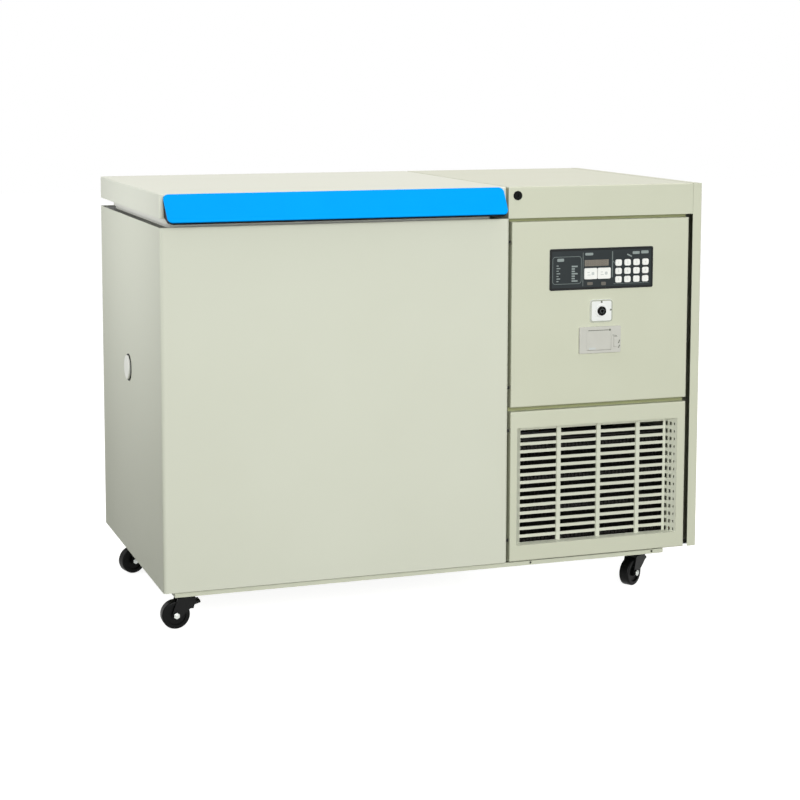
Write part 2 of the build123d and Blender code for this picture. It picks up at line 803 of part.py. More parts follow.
fan_spot = ((fin_x0 + fin_x1) / 2, (pan_z + cond_z1) / 2)
shroud_y = cond_y1 + shroud_d
ring_y = shroud_y + ring_d / 2
motor_y = ring_y + strut_t
ring_r = fan_d / 2 + fan_gap

with BuildPart() as fan_shroud:
    block(fin_x0, fin_x1, cond_y1, shroud_y, pan_z, cond_z1)
    block(fin_x0 + shroud_t, fin_x1 - shroud_t, cond_y1 - shroud_t, shroud_y - shroud_t,
          pan_z + shroud_t, cond_z1 - shroud_t, mode=Mode.SUBTRACT)
    with BuildSketch(face_plane(ring_y)):
        with Locations(fan_spot):
            Circle(ring_r + 2 * shroud_t)
    extrude(amount=ring_d)
    with BuildSketch(face_plane(ring_y + ring_d)):
        with Locations(fan_spot):
            Circle(ring_r)
    extrude(amount=2 * ring_d + shroud_t, mode=Mode.SUBTRACT)
    # a cross behind the ring carries the motor
    with BuildSketch(face_plane(motor_y)):
        with Locations(fan_spot):
            Rectangle(2 * ring_r + shroud_t, strut_w)
            Rectangle(strut_w, 2 * ring_r + shroud_t)
            Circle(motor_r)
            Circle(2 * shaft_r, mode=Mode.SUBTRACT)
    extrude(amount=strut_t)
fan_shroud.part.label = "fan_shroud"
export_step(fan_shroud.part, "parts/fan_shroud.step")

with BuildPart() as fan_motor:
    with BuildSketch(face_plane(motor_y + motor_l)):
        with Locations(fan_spot):
            Circle(motor_r)
    extrude(amount=motor_l)
    fillet(fan_motor.faces().sort_by(Axis.Y)[-1].edges(), radius=6)
    with BuildSketch(face_plane(motor_y + shaft_in + 1)):
        with Locations(fan_spot):
            Circle(shaft_r + slip)
    extrude(amount=shaft_in + 1, mode=Mode.SUBTRACT)
fan_motor.part.label = "fan_motor"
export_step(fan_motor.part, "parts/fan_motor.step")

fan_y1 = ring_y - 2 * strut_t
fan_y0 = fan_y1 - fan_depth

with BuildPart() as condenser_fan:
    for blade in range(blade_count):
        with Locations(Location((fan_spot[0], (fan_y0 + fan_y1) / 2, fan_spot[1]),
                                (0, 360 / blade_count * blade, 0))):
            with Locations(Location((fan_d / 4, 0, 0), (blade_turn, 0, 0))):
                Box(fan_d / 2, blade_t, blade_w)
    with BuildSketch(face_plane(fan_y1)):
        with Locations(fan_spot):
            Circle(fan_d / 2)
    extrude(amount=fan_depth, mode=Mode.INTERSECT)
    with BuildSketch(face_plane(fan_y1)):
        with Locations(fan_spot):
            Circle(hub_r)
    extrude(amount=fan_depth)
    with BuildSketch(face_plane(motor_y + shaft_in)):
        with Locations(fan_spot):
            Circle(shaft_r)
    extrude(amount=motor_y + shaft_in - fan_y1)
condenser_fan.part.label = "condenser_fan"
export_step(condenser_fan.part, "parts/condenser_fan.step")

comp_y = back - exchanger_y - exchanger_d - compressor_y
comp_xs = (panel_x0 + compressor_x, panel_x0 + compressor_x + compressor_pitch)
feet_z = pan_z + grommet_h
comp_top = feet_z + compressor_h

with BuildPart() as compressors:
    for x in comp_xs:
        block(x - feet_w / 2, x + feet_w / 2, comp_y - feet_d / 2, comp_y + feet_d / 2, feet_z, feet_z + feet_t)
        with BuildSketch(Plane.XZ.offset(-comp_y)):
            with BuildLine():
                Polyline((x, feet_z), (x + compressor_r, feet_z), (x + compressor_r, comp_top),
                         (x, comp_top), close=True)
            make_face()
            fillet(faces().vertices().group_by(Axis.X)[-1], radius=compressor_dome)
        revolve(axis=Axis((x, comp_y, 0), (0, 0, 1)))
        # weld seam and terminal box
        with BuildSketch(Plane.XY.offset(feet_z + compressor_h * 0.55)):
            with Locations((x, comp_y)):
                Circle(compressor_r + 1.5)
        extrude(amount=10)
        block(x - 24, x + 24, comp_y - compressor_r - 16, comp_y - compressor_r + 8,
              feet_z + 70, feet_z + 125)
compressors.part.label = "compressors"
export_step(compressors.part, "parts/compressors.step")

with BuildPart() as compressor_grommets:
    for x in comp_xs:
        with BuildSketch(Plane.XY.offset(pan_z)):
            with Locations((x, comp_y)):
                with GridLocations(feet_w - 3 * grommet_r, feet_d - 3 * grommet_r, 2, 2):
                    Circle(grommet_r)
        extrude(amount=grommet_h)
compressor_grommets.part.label = "compressor_grommets"
export_step(compressor_grommets.part, "parts/compressor_grommets.step")

exch_x0 = panel_x0 + exchanger_x
exch_x1 = exch_x0 + exchanger_w
exch_y1 = back - exchanger_y
exch_y0 = exch_y1 - exchanger_d
exch_z1 = pan_z + exchanger_h

with BuildPart() as heat_exchanger:
    block(exch_x0, exch_x1, exch_y0, exch_y1, pan_z, exch_z1)
    fillet(heat_exchanger.edges().filter_by(Axis.Z), radius=8)
heat_exchanger.part.label = "heat_exchanger"
export_step(heat_exchanger.part, "parts/heat_exchanger.step")

drier_z0 = pan_z + drier_low
drier_z1 = drier_z0 + drier_l
lane_y = exch_y0 - drier_r
comp_lane = (comp_xs[0] + comp_xs[1]) / 2
drier_spots = ((comp_lane, lane_y + drier_r), (comp_xs[1] - 2 * drier_r, lane_y))

with BuildPart() as filter_driers:
    for spot in drier_spots:
        with BuildSketch(Plane.XY.offset(drier_z0)):
            with Locations(spot):
                Circle(drier_r)
        extrude(amount=drier_l)
    fillet(filter_driers.edges().filter_by(GeomType.CIRCLE), radius=drier_r - pipe_r - 1)
filter_driers.part.label = "filter_driers"
export_step(filter_driers.part, "parts/filter_driers.step")

tail_x = chest_x1 + 2 * coil_d
lane_z = exch_z1 + 2 * drier_r
exch_y = (exch_y0 + exch_y1) / 2
outlet_z = base_z + tube_low
lane_right = lane_x1 + 2 * pipe_bend


def tail_pipe(y, z, x):
    """From one end of the evaporator tube over to the top of the heat exchanger."""
    return [(tail_x, y, z), (x, y, z), (x, y, max(z, lane_z)), (x, exch_y, max(z, lane_z)), (x, exch_y, exch_z1)]


low_tail = tail_pipe(mid_y - tail_y, coil_z0, tail_x + 2 * drier_r)
high_tail = [p for number, p in enumerate(tail_pipe(mid_y + tail_y, coil_z1, tail_x + 4 * drier_r)) if number != 2]
discharge = [(comp_xs[0], comp_y, comp_top), (comp_xs[0], comp_y, cond_z1 + 2 * riser_h),
             (lane_x0, comp_y, cond_z1 + 2 * riser_h), (lane_x0, tube_y[0], cond_z1 + 2 * riser_h),
             (lane_x0, tube_y[0], cond_z1 + riser_h)]
liquid = [(lane_x1, tube_y[0], outlet_z), (lane_right, tube_y[0], outlet_z), (lane_right, lane_y, outlet_z),
          (drier_spots[1][0], lane_y, outlet_z), (drier_spots[1][0], lane_y, drier_z0)]
dried = [(drier_spots[1][0], lane_y, drier_z1), (drier_spots[1][0], lane_y, lane_z),
         (exch_x1 - drier_r, lane_y, lane_z), (exch_x1 - drier_r, exch_y, lane_z), (exch_x1 - drier_r, exch_y, exch_z1)]
high_z = lane_z + 2 * drier_r
second = [(comp_xs[1], comp_y, comp_top), (comp_xs[1], comp_y, high_z), (comp_lane, comp_y, high_z),
          (comp_lane, drier_spots[0][1], high_z), (comp_lane, drier_spots[0][1], drier_z1)]
second_low = [(comp_lane, drier_spots[0][1], drier_z0), (comp_lane, drier_spots[0][1], outlet_z),
              (comp_lane, exch_y, outlet_z), (exch_x1, exch_y, outlet_z)]
suction_z = feet_z + compressor_h * 0.4
suction = [(comp_xs[1], comp_y + compressor_r, suction_z), (comp_xs[1], exch_y, suction_z),
           (exch_x1, exch_y, suction_z)]

with BuildPart() as refrigerant_pipes:
    for points in (low_tail, high_tail, discharge, liquid, dried, second, second_low, suction):
        with BuildLine() as pipe_line:
            FilletPolyline(*points, radius=pipe_bend)
        with BuildSketch(Plane(pipe_line.line @ 0, z_dir=pipe_line.line % 0)):
            Circle(pipe_r)
        sweep(path=pipe_line.line)
    # the left compressor's suction tube is straight
    with BuildSketch(face_plane(exch_y0)):
        with Locations((comp_xs[0], suction_z)):
            Circle(pipe_r)
    extrude(amount=exch_y0 - comp_y - compressor_r)
refrigerant_pipes.part.label = "refrigerant_pipes"
export_step(refrigerant_pipes.part, "parts/refrigerant_pipes.step")

# Electrics

box_y1 = post_y1 + box_d
box_z0 = split_z1 + box_gap
box_z1 = panel_top - box_gap

with BuildPart() as electrical_box:
    block(panel_x0, panel_x1, post_y1, box_y1, box_z0, box_z1)
    offset(amount=-sheet, openings=electrical_box.faces().sort_by(Axis.Y)[0])
electrical_box.part.label = "electrical_box"
export_step(electrical_box.part, "parts/electrical_box.step")

board_x = (panel_x0 + panel_x1) / 2
board_z = (box_z0 + box_z1) / 2
board_y = box_y1 - sheet - stand_off

with BuildPart() as control_board:
    with BuildSketch(face_plane(board_y)):
        with Locations((board_x, board_z)):
            Rectangle(board_w, board_h)
    extrude(amount=board_t)
    with BuildSketch(face_plane(board_y + stand_off)):
        with Locations((board_x, board_z)):
            with GridLocations(board_w - 20, board_h - 20, 2, 2):
                Circle(4)
    extrude(amount=stand_off)
    # relays in a row, and a transformer
    with BuildSketch(face_plane(board_y - board_t)):
        with Locations((board_x, board_z - board_h / 4)):
            with GridLocations(36, 40, 5, 2):
                Rectangle(26, 20)
    extrude(amount=16)
    with BuildSketch(face_plane(board_y - board_t)):
        with Locations((board_x - board_w / 5, board_z + board_h / 4)):
            Rectangle(60, 50)
    extrude(amount=40)
control_board.part.label = "control_board"
export_step(control_board.part, "parts/control_board.step")

with BuildPart() as power_inlet:
    with BuildSketch(face_plane(back - sheet + inlet_out)):
        with Locations(inlet_spot):
            RectangleRounded(inlet_w, inlet_h, 4)
    extrude(amount=inlet_out)
    with BuildSketch(face_plane(back - sheet)):
        with Locations(inlet_spot):
            Rectangle(inlet_w - 12, inlet_h - 12)
    extrude(amount=inlet_in)
    # the socket is open to the back, with three pins in it
    with BuildSketch(face_plane(back - sheet + inlet_out)):
        with Locations(inlet_spot):
            RectangleRounded(inlet_w - 22, inlet_h - 18, 3)
    extrude(amount=inlet_in - 6, mode=Mode.SUBTRACT)
    with BuildSketch(face_plane(back - sheet - 4)):
        with Locations(inlet_spot):
            with GridLocations(11, 10, 3, 1):
                Rectangle(2.5, 7)
    extrude(amount=inlet_in - 6)
power_inlet.part.label = "power_inlet"
export_step(power_inlet.part, "parts/power_inlet.step")

# The control panel and its fittings

display_x0 = panel_x0 + display_x
display_z0 = panel_top - display_drop - display_h
display_spot = (display_x0 + display_w / 2, display_z0 + display_h / 2)
window_spot = (display_x0 + window_x, display_z0 + window_z)
keypad_spot = (display_x0 + key_first_x + 1.5 * key_pitch_x, display_z0 + key_first_z + key_pitch_z)
func_spots = {side: (display_x0 + func_x + number * func_pitch, display_z0 + func_z)
              for number, side in enumerate(("left", "right"))}
switch_spot = (panel_x0 + switch_x, display_z0 - switch_z)
recorder_x0 = panel_x0 + recorder_x
recorder_z0 = display_z0 - recorder_z
recorder_spot = (recorder_x0 + recorder_w / 2, recorder_z0 + recorder_h / 2)
flange_in = 5.0          # the recorder's cut-out is this much smaller all round

with BuildPart() as control_panel:
    block(panel_x0, panel_x1, front, post_y0, split_z1, panel_top)
    fillet(control_panel.faces().sort_by(Axis.Y)[0].edges(), radius=edge_r)
    offset(amount=-sheet, openings=control_panel.faces().sort_by(Axis.Y)[-1])
    with BuildSketch(face_plane(front + 2 * sheet)):
        with Locations(display_spot):
            Rectangle(display_w - 2 * bezel_edge, display_h - 2 * bezel_edge)
        with Locations(switch_spot):
            Circle(sleeve_r)
        with Locations(recorder_spot):
            Rectangle(recorder_w - 2 * flange_in, recorder_h - 2 * flange_in)
    extrude(amount=4 * sheet, mode=Mode.SUBTRACT)
control_panel.part.label = "control_panel"
export_step(control_panel.part, "parts/control_panel.step")

face_y = front - bezel_out
plate_back = face_y + bezel_plate

with BuildPart() as display_bezel:
    with BuildSketch(face_plane(front)):
        with Locations(display_spot):
            RectangleRounded(display_w, display_h, 4)
    extrude(amount=bezel_out)
    with BuildSketch(face_plane(front + bezel_depth)):
        with Locations(display_spot):
            Rectangle(display_w - 2 * bezel_edge, display_h - 2 * bezel_edge)
    extrude(amount=bezel_depth)
    with BuildSketch(face_plane(front + bezel_depth)):
        with Locations(display_spot):
            Rectangle(display_w - 3 * bezel_edge, display_h - 3 * bezel_edge)
    extrude(amount=front + bezel_depth - plate_back, mode=Mode.SUBTRACT)
    with BuildSketch(face_plane(front + bezel_depth)):
        with Locations(keypad_spot):
            with GridLocations(key_pitch_x, key_pitch_z, 4, 3):
                RectangleRounded(key_w + 2 * clear, key_h + 2 * clear, key_r + clear)
        for spot in func_spots.values():
            with Locations(spot):
                RectangleRounded(func_w + clear, func_h + 2 * clear, 3)
        with Locations(window_spot):
            Rectangle(window_w, window_h)
    extrude(amount=bezel_depth + 2 * bezel_out, mode=Mode.SUBTRACT)
display_bezel.part.label = "display_bezel"
export_step(display_bezel.part, "parts/display_bezel.step")

with BuildPart() as display_window:
    with BuildSketch(face_plane(plate_back)):
        with Locations(window_spot):
            Rectangle(window_w, window_h)
    extrude(amount=bezel_plate - clear)
display_window.part.label = "display_window"
export_step(display_window.part, "parts/display_window.step")

web_y = plate_back + clear

with BuildPart() as number_keys:
    with BuildSketch(face_plane(web_y + key_web)):
        with Locations(keypad_spot):
            Rectangle(3 * key_pitch_x + key_w + 4, 2 * key_pitch_z + key_h + 4)
    extrude(amount=key_web)
    with BuildSketch(face_plane(web_y)):
        with Locations(keypad_spot):
            with GridLocations(key_pitch_x, key_pitch_z, 4, 3):
                RectangleRounded(key_w, key_h, key_r)
    extrude(amount=web_y - face_y + key_out)
number_keys.part.label = "number_keys"
export_step(number_keys.part, "parts/number_keys.step")

for side, spot in func_spots.items():
    with BuildPart() as function_key:
        with BuildSketch(face_plane(web_y + key_web)):
            with Locations(spot):
                Rectangle(func_w, func_h + 2 * func_flange)
        extrude(amount=key_web)
        with BuildSketch(face_plane(web_y)):
            with Locations(spot):
                RectangleRounded(func_w - clear, func_h, 3)
        extrude(amount=web_y - face_y + key_out)
    function_key.part.label = f"function_key_{side}"
    export_step(function_key.part, f"parts/function_key_{side}.step")

with BuildPart() as key_switch_plate:
    with BuildSketch(face_plane(front)):
        with Locations(switch_spot):
            RectangleRounded(switch_w, switch_h, 8)
    extrude(amount=switch_t)
    fillet(key_switch_plate.faces().sort_by(Axis.Y)[0].edges(), radius=1)
    with BuildSketch(face_plane(front + sleeve_l)):
        with Locations(switch_spot):
            Circle(sleeve_r)
    extrude(amount=sleeve_l)
    with BuildSketch(face_plane(front + sleeve_l)):
        with Locations(switch_spot):
            Circle(plug_r + slip)
    extrude(amount=sleeve_l + switch_t, mode=Mode.SUBTRACT)
key_switch_plate.part.label = "key_switch_plate"
export_step(key_switch_plate.part, "parts/key_switch_plate.step")

with BuildPart() as key_switch_barrel:
    with BuildSketch(face_plane(front - switch_t - clear)):
        with Locations(switch_spot):
            Circle(barrel_r)
    extrude(amount=barrel_out - clear)
    fillet(key_switch_barrel.faces().sort_by(Axis.Y)[0].edges(), radius=1)
    with BuildSketch(face_plane(front + sleeve_l + clear + 2)):
        with Locations(switch_spot):
            Circle(plug_r)
    extrude(amount=sleeve_l + clear + 2 + switch_t + clear)
    with BuildSketch(face_plane(front + sleeve_l + clear + 2)):
        with Locations(switch_spot):
            Circle(sleeve_r)
    extrude(amount=2)
    # keyway
    with BuildSketch(face_plane(front - switch_t)):
        with Locations(switch_spot):
            Rectangle(2, 9)
    extrude(amount=barrel_out, mode=Mode.SUBTRACT)
key_switch_barrel.part.label = "key_switch_barrel"
export_step(key_switch_barrel.part, "parts/key_switch_barrel.step")

# The recorder: a flanged body, a small door with its hinge at the bottom, and a rocker

recorder_y = front - recorder_out
door_x0 = recorder_x0 + door_in
door_x1 = door_x0 + door_w
door_z0 = recorder_z0 + door_low
door_z1 = door_z0 + door_h
door_axis = (door_z0 + door_t / 2, recorder_y + clear + door_t / 2)
rocker_spot = (recorder_x0 + recorder_w - rocker_in, recorder_z0 + rocker_low)
rocker_y = recorder_y - 1

with BuildPart() as recorder_body:
    with BuildSketch(face_plane(front)):
        with Locations(recorder_spot):
            RectangleRounded(recorder_w, recorder_h, 3)
    extrude(amount=recorder_out)
    fillet(recorder_body.faces().sort_by(Axis.Y)[0].edges(), radius=1)
    with BuildSketch(face_plane(front + recorder_body_d)):
        with Locations(recorder_spot):
            Rectangle(recorder_w - 2 * flange_in, recorder_h - 2 * flange_in)
    extrude(amount=recorder_body_d)
    # recess for the door, and a shallow bay behind it
    block(door_x0 - clear, door_x1 + clear, recorder_y - 1, recorder_y + door_t + 2 * clear,
          door_z0 - clear, door_z1 + clear, mode=Mode.SUBTRACT)
    block(door_x0 + 6, door_x1 - 6, recorder_y, recorder_y + 16, door_z0 + 6, door_z1 - 5, mode=Mode.SUBTRACT)
    block(rocker_spot[0] - rocker_w / 2 - clear, rocker_spot[0] + rocker_w / 2 + clear,
          recorder_y - 1, rocker_y + rocker_t + 2, rocker_spot[1] - rocker_h / 2 - 2 * clear,
          rocker_spot[1] + rocker_h / 2 + 2 * clear, mode=Mode.SUBTRACT)
    with BuildSketch(side_plane(door_x0 - 3)):
        with Locations((-door_axis[1], door_axis[0])):
            Circle(hinge_pin_r + slip)
    extrude(amount=-(door_w + 6), mode=Mode.SUBTRACT)
    with BuildSketch(side_plane(rocker_spot[0] - rocker_w / 2 - 3)):
        with Locations((-(rocker_y + rocker_t / 2), rocker_spot[1])):
            Circle(hinge_pin_r + slip)
    extrude(amount=-(rocker_w + 6), mode=Mode.SUBTRACT)
recorder_body.part.label = "recorder_body"
export_step(recorder_body.part, "parts/recorder_body.step")

with BuildPart() as recorder_door:
    block(door_x0, door_x1, recorder_y + clear, recorder_y + clear + door_t, door_z0, door_z1)
    fillet(recorder_door.edges().filter_by(Axis.X).group_by(Axis.Z)[0], radius=door_t / 2 - slip)
    with BuildSketch(side_plane(door_x0 - 2.5)):
        with Locations((-door_axis[1], door_axis[0])):
            Circle(hinge_pin_r)
    extrude(amount=-(door_w + 5))
recorder_door.part.label = "recorder_door"
export_step(recorder_door.part, "parts/recorder_door.step")

with BuildPart() as recorder_rocker:
    block(rocker_spot[0] - rocker_w / 2, rocker_spot[0] + rocker_w / 2, rocker_y, rocker_y + rocker_t,
          rocker_spot[1] - rocker_h / 2, rocker_spot[1] + rocker_h / 2)
    with BuildSketch(side_plane(rocker_spot[0] - rocker_w / 2 - 2.5)):
        with Locations((-(rocker_y + rocker_t / 2), rocker_spot[1])):
            Circle(hinge_pin_r)
    extrude(amount=-(rocker_w + 5))
recorder_rocker.part.label = "recorder_rocker"
export_step(recorder_rocker.part, "parts/recorder_rocker.step")

# The lid lock

lock_spot = (lock_axis_x, lock_axis_z)

with BuildPart() as lid_lock_body:
    with BuildSketch(face_plane(front)):
        with Locations(lock_spot):
            Circle(lock_r)
    extrude(amount=lock_out)
    fillet(lid_lock_body.faces().sort_by(Axis.Y)[0].edges(), radius=1)
    with BuildSketch(face_plane(front + lock_sleeve_l)):
        with Locations(lock_spot):
            Circle(lock_sleeve_r)
    extrude(amount=lock_sleeve_l)
    with BuildSketch(face_plane(front + lock_sleeve_l)):
        with Locations(lock_spot):
            Circle(plug_r + slip)
    extrude(amount=lock_sleeve_l + lock_out, mode=Mode.SUBTRACT)
lid_lock_body.part.label = "lid_lock_body"
export_step(lid_lock_body.part, "parts/lid_lock_body.step")

with BuildPart() as lid_lock_barrel:
    with BuildSketch(face_plane(cam_y0 + cam_t)):
        with Locations(lock_spot):
            Circle(plug_r)
    extrude(amount=cam_y0 + cam_t - front + lock_out)
    # keyway
    with BuildSketch(face_plane(front)):
        with Locations(lock_spot):
            Rectangle(2, 8)
    extrude(amount=2 * lock_out, mode=Mode.SUBTRACT)
    block(lock_axis_x - cam_w / 2, lock_axis_x + cam_w / 2, cam_y0, cam_y0 + cam_t,
          lock_axis_z - cam_l, lock_axis_z + cam_w / 2)
lid_lock_barrel.part.label = "lid_lock_barrel"
export_step(lid_lock_barrel.part, "parts/lid_lock_barrel.step")

# The lid

lid_x = left + lid_w / 2
pocket_low = lock_axis_z - sweep_low(lid_wall)
pocket_high = lock_axis_z - sweep_high(lid_wall)
pocket_y0 = cam_y0 - 4 * clear
pocket_y1 = cam_y0 + cam_t + 4 * clear
gasket_z = rim_z - rim_drop + clear

with BuildPart() as lid_shell:
    with BuildSketch(Plane.XY.offset(lid_z)):
        with Locations((lid_x, mid_y)):
            RectangleRounded(lid_w, cabinet_d, corner_r)
    extrude(amount=lid_h)
    fillet(lid_shell.faces().sort_by(Axis.Z)[-1].edges(), radius=edge_r)
    offset(amount=-sheet, openings=lid_shell.faces().sort_by(Axis.Z)[0])
    block(lid_x1 - 2 * sheet, lid_x1 + sheet, pocket_y0, pocket_y1, pocket_low, pocket_high, mode=Mode.SUBTRACT)
lid_shell.part.label = "lid_shell"
export_step(lid_shell.part, "parts/lid_shell.step")

with BuildPart() as lid_insulation:
    with BuildSketch(Plane.XY.offset(lid_z + lid_liner_t)):
        with Locations((lid_x, mid_y)):
            RectangleRounded(lid_w - 2 * sheet, cabinet_d - 2 * sheet, corner_r - sheet)
    extrude(amount=lid_h - lid_liner_t - sheet)
    fillet(lid_insulation.faces().sort_by(Axis.Z)[-1].edges(), radius=edge_r - sheet)
    with BuildSketch(Plane.XY.offset(rim_z - plug_h + lid_liner_t)):
        with Locations((chest_x, mid_y)):
            RectangleRounded(chamber_w - 2 * plug_clear - 2 * lid_liner_t,
                             chamber_d - 2 * plug_clear - 2 * lid_liner_t, chamber_r - lid_liner_t)
    extrude(amount=lid_z - rim_z + plug_h)
    block(lid_x1 - sheet - pocket_d, lid_x1, pocket_y0, pocket_y1, pocket_low, pocket_high, mode=Mode.SUBTRACT)
lid_insulation.part.label = "lid_insulation"
export_step(lid_insulation.part, "parts/lid_insulation.step")

with BuildPart() as lid_liner:
    with BuildSketch(Plane.XY.offset(lid_z)):
        with Locations((lid_x, mid_y)):
            RectangleRounded(lid_w - 2 * sheet, cabinet_d - 2 * sheet, corner_r - sheet)
    extrude(amount=lid_liner_t)
    with BuildSketch(Plane.XY.offset(rim_z - plug_h)):
        with Locations((chest_x, mid_y)):
            RectangleRounded(chamber_w - 2 * plug_clear, chamber_d - 2 * plug_clear, chamber_r)
    extrude(amount=lid_z - rim_z + plug_h)
    with BuildSketch(Plane.XY.offset(rim_z - plug_h + lid_liner_t)):
        with Locations((chest_x, mid_y)):
            RectangleRounded(chamber_w - 2 * plug_clear - 2 * lid_liner_t,
                             chamber_d - 2 * plug_clear - 2 * lid_liner_t, chamber_r - lid_liner_t)
    extrude(amount=lid_z - rim_z + plug_h, mode=Mode.SUBTRACT)
lid_liner.part.label = "lid_liner"
export_step(lid_liner.part, "parts/lid_liner.step")

gasket_x = lid_w - 2 * gasket_side
gasket_y = cabinet_d - gasket_front - gasket_back
gasket_spot = (lid_x, mid_y + (gasket_front - gasket_back) / 2)

with BuildPart() as lid_gasket:
    with BuildSketch(Plane.XY.offset(gasket_z + gasket_foot)):
        with Locations(gasket_spot):
            RectangleRounded(gasket_x, gasket_y, 20)
            RectangleRounded(gasket_x - 2 * gasket_w, gasket_y - 2 * gasket_w, 12, mode=Mode.SUBTRACT)
    extrude(amount=lid_z - gasket_z - gasket_foot)
    with BuildSketch(Plane.XY.offset(gasket_z)):
        with Locations(gasket_spot):
            RectangleRounded(gasket_x - 2 * gasket_step, gasket_y - 2 * gasket_step, 16)
            RectangleRounded(gasket_x - 2 * (gasket_w - gasket_step),
                             gasket_y - 2 * (gasket_w - gasket_step), 14, mode=Mode.SUBTRACT)
    extrude(amount=gasket_foot)
lid_gasket.part.label = "lid_gasket"
export_step(lid_gasket.part, "parts/lid_gasket.step")

# The handle. Its blue cover is a flat strip that slopes outwards and down from the lid's top edge.
# Behind the strip is a black core: a lip, a leg on the lid's face and two end walls.

flap_l = hypot(handle_out, handle_drop)
slope = (handle_out / flap_l, handle_drop / flap_l)
handle_len = lid_w - handle_x0 - handle_x1
handle_x = left + handle_x0 + handle_len / 2
flap_plane = Plane((handle_x, front, top_z - handle_top), x_dir=(1, 0, 0), z_dir=(0, -slope[1], slope[0]))


def flap_point(down, inward):
    """A point of the side sketch, measured down the slope and in from the cover's outer face."""
    return (-front + down * slope[0] - inward * slope[1],
            top_z - handle_top - down * slope[1] - inward * slope[0])


def flap_meets(inward):
    """How far down the slope a line this far in meets the lid's face."""
    return inward * slope[1] / slope[0]


with BuildPart() as lid_handle_cover:
    with BuildSketch(flap_plane):
        with BuildLine():
            Polyline((-handle_len / 2, 0), (handle_len / 2, 0), (handle_len / 2 - handle_taper, -flap_l),
                     (-handle_len / 2 + handle_taper, -flap_l), close=True)
        make_face()
        fillet(vertices().group_by(Axis.Z)[0], radius=handle_r)
    extrude(amount=-handle_t)
    block(left, lid_x1, front, front + handle_out, lid_z, top_z, mode=Mode.SUBTRACT)
lid_handle_cover.part.label = "lid_handle_cover"
export_step(lid_handle_cover.part, "parts/lid_handle_cover.step")

core_l = flap_l + core_lip
core_in = handle_t + core_t
leg_low = top_z - handle_top - handle_leg - core_t
core_end = core_inset + core_t + handle_taper

with BuildPart() as lid_handle_core:
    with BuildSketch(side_plane(left + handle_x0)):
        with BuildLine():
            Polyline(flap_point(flap_meets(handle_t), handle_t), flap_point(core_l, handle_t),
                     flap_point(core_l, core_in), (-front, leg_low), close=True)
        make_face()
    extrude(amount=-handle_len)
    # hollow for the fingers, between the two end walls
    with BuildSketch(side_plane(left + handle_x0 + core_end)):
        with BuildLine():
            Polyline(flap_point(flap_meets(core_in) + core_t / slope[0], core_in),
                     flap_point(core_l + handle_out, core_in), (-front + core_t, leg_low - handle_out),
                     close=True)
        make_face()
    extrude(amount=-(handle_len - 2 * core_end), mode=Mode.SUBTRACT)
    with BuildSketch(flap_plane):
        with BuildLine():
            Polyline((-handle_len / 2 + core_inset, handle_r), (handle_len / 2 - core_inset, handle_r),
                     (handle_len / 2 - handle_taper - core_inset, -core_l),
                     (-handle_len / 2 + handle_taper + core_inset, -core_l), close=True)
        make_face()
        fillet(vertices().group_by(Axis.Z)[0], radius=handle_r)
    extrude(amount=-2 * flap_l, mode=Mode.INTERSECT)
lid_handle_core.part.label = "lid_handle_core"
export_step(lid_handle_core.part, "parts/lid_handle_core.step")

# The hinges

hinge_y = back + hinge_axis_y
hinge_z = rim_z + lid_gap / 2
hinge_xs = [lid_x + step * hinge_pitch for step in (-1, 0, 1)]
half = hinge_w / 2
inner = knuckle_w / 2
hinge_spot = (-hinge_y, hinge_z)

with BuildPart() as hinge_brackets:
    for x in hinge_xs:
        block(x - half, x + half, back, back + hinge_plate, hinge_z - bracket_h, hinge_z - web_t / 2)
        block(x - half, x + half, back, hinge_y, hinge_z - 1.5 * web_t, hinge_z - web_t / 2)
        with BuildSketch(side_plane(x - half)):
            with Locations(hinge_spot):
                Circle(hinge_r)
        extrude(amount=-hinge_w)
        block(x - inner - clear, x + inner + clear, back + hinge_plate, hinge_y + 2 * hinge_r,
              hinge_z - 2 * hinge_r, hinge_z + 2 * hinge_r, mode=Mode.SUBTRACT)
        with BuildSketch(side_plane(x - half)):
            with Locations(hinge_spot):
                Circle(pin_r)
        extrude(amount=-hinge_w, mode=Mode.SUBTRACT)
hinge_brackets.part.label = "hinge_brackets"
export_step(hinge_brackets.part, "parts/hinge_brackets.step")

with BuildPart() as hinge_arms:
    for x in hinge_xs:
        block(x - half, x + half, back, back + hinge_plate, lid_z + 1, lid_z + 1 + arm_h)
        block(x - inner, x + inner, back, hinge_y, hinge_z + web_t / 2, hinge_z + 1.5 * web_t)
        with BuildSketch(side_plane(x - inner)):
            with Locations(hinge_spot):
                Circle(hinge_r)
        extrude(amount=-knuckle_w)
        with BuildSketch(side_plane(x - inner)):
            with Locations(hinge_spot):
                Circle(pin_r + slip)
        extrude(amount=-knuckle_w, mode=Mode.SUBTRACT)
hinge_arms.part.label = "hinge_arms"
export_step(hinge_arms.part, "parts/hinge_arms.step")

with BuildPart() as hinge_pins:
    for x in hinge_xs:
        for start, radius, length in ((-half, pin_r, hinge_w), (-half - pin_head, 1.5 * pin_r, pin_head),
                                      (half, 1.5 * pin_r, pin_head)):
            with BuildSketch(side_plane(x + start)):
                with Locations(hinge_spot):
                    Circle(radius)
            extrude(amount=-length)
hinge_pins.part.label = "hinge_pins"
export_step(hinge_pins.part, "parts/hinge_pins.step")
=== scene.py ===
import json
from math import cos, pi, radians, sin

import bmesh
import bpy
from mathutils import Matrix, Vector


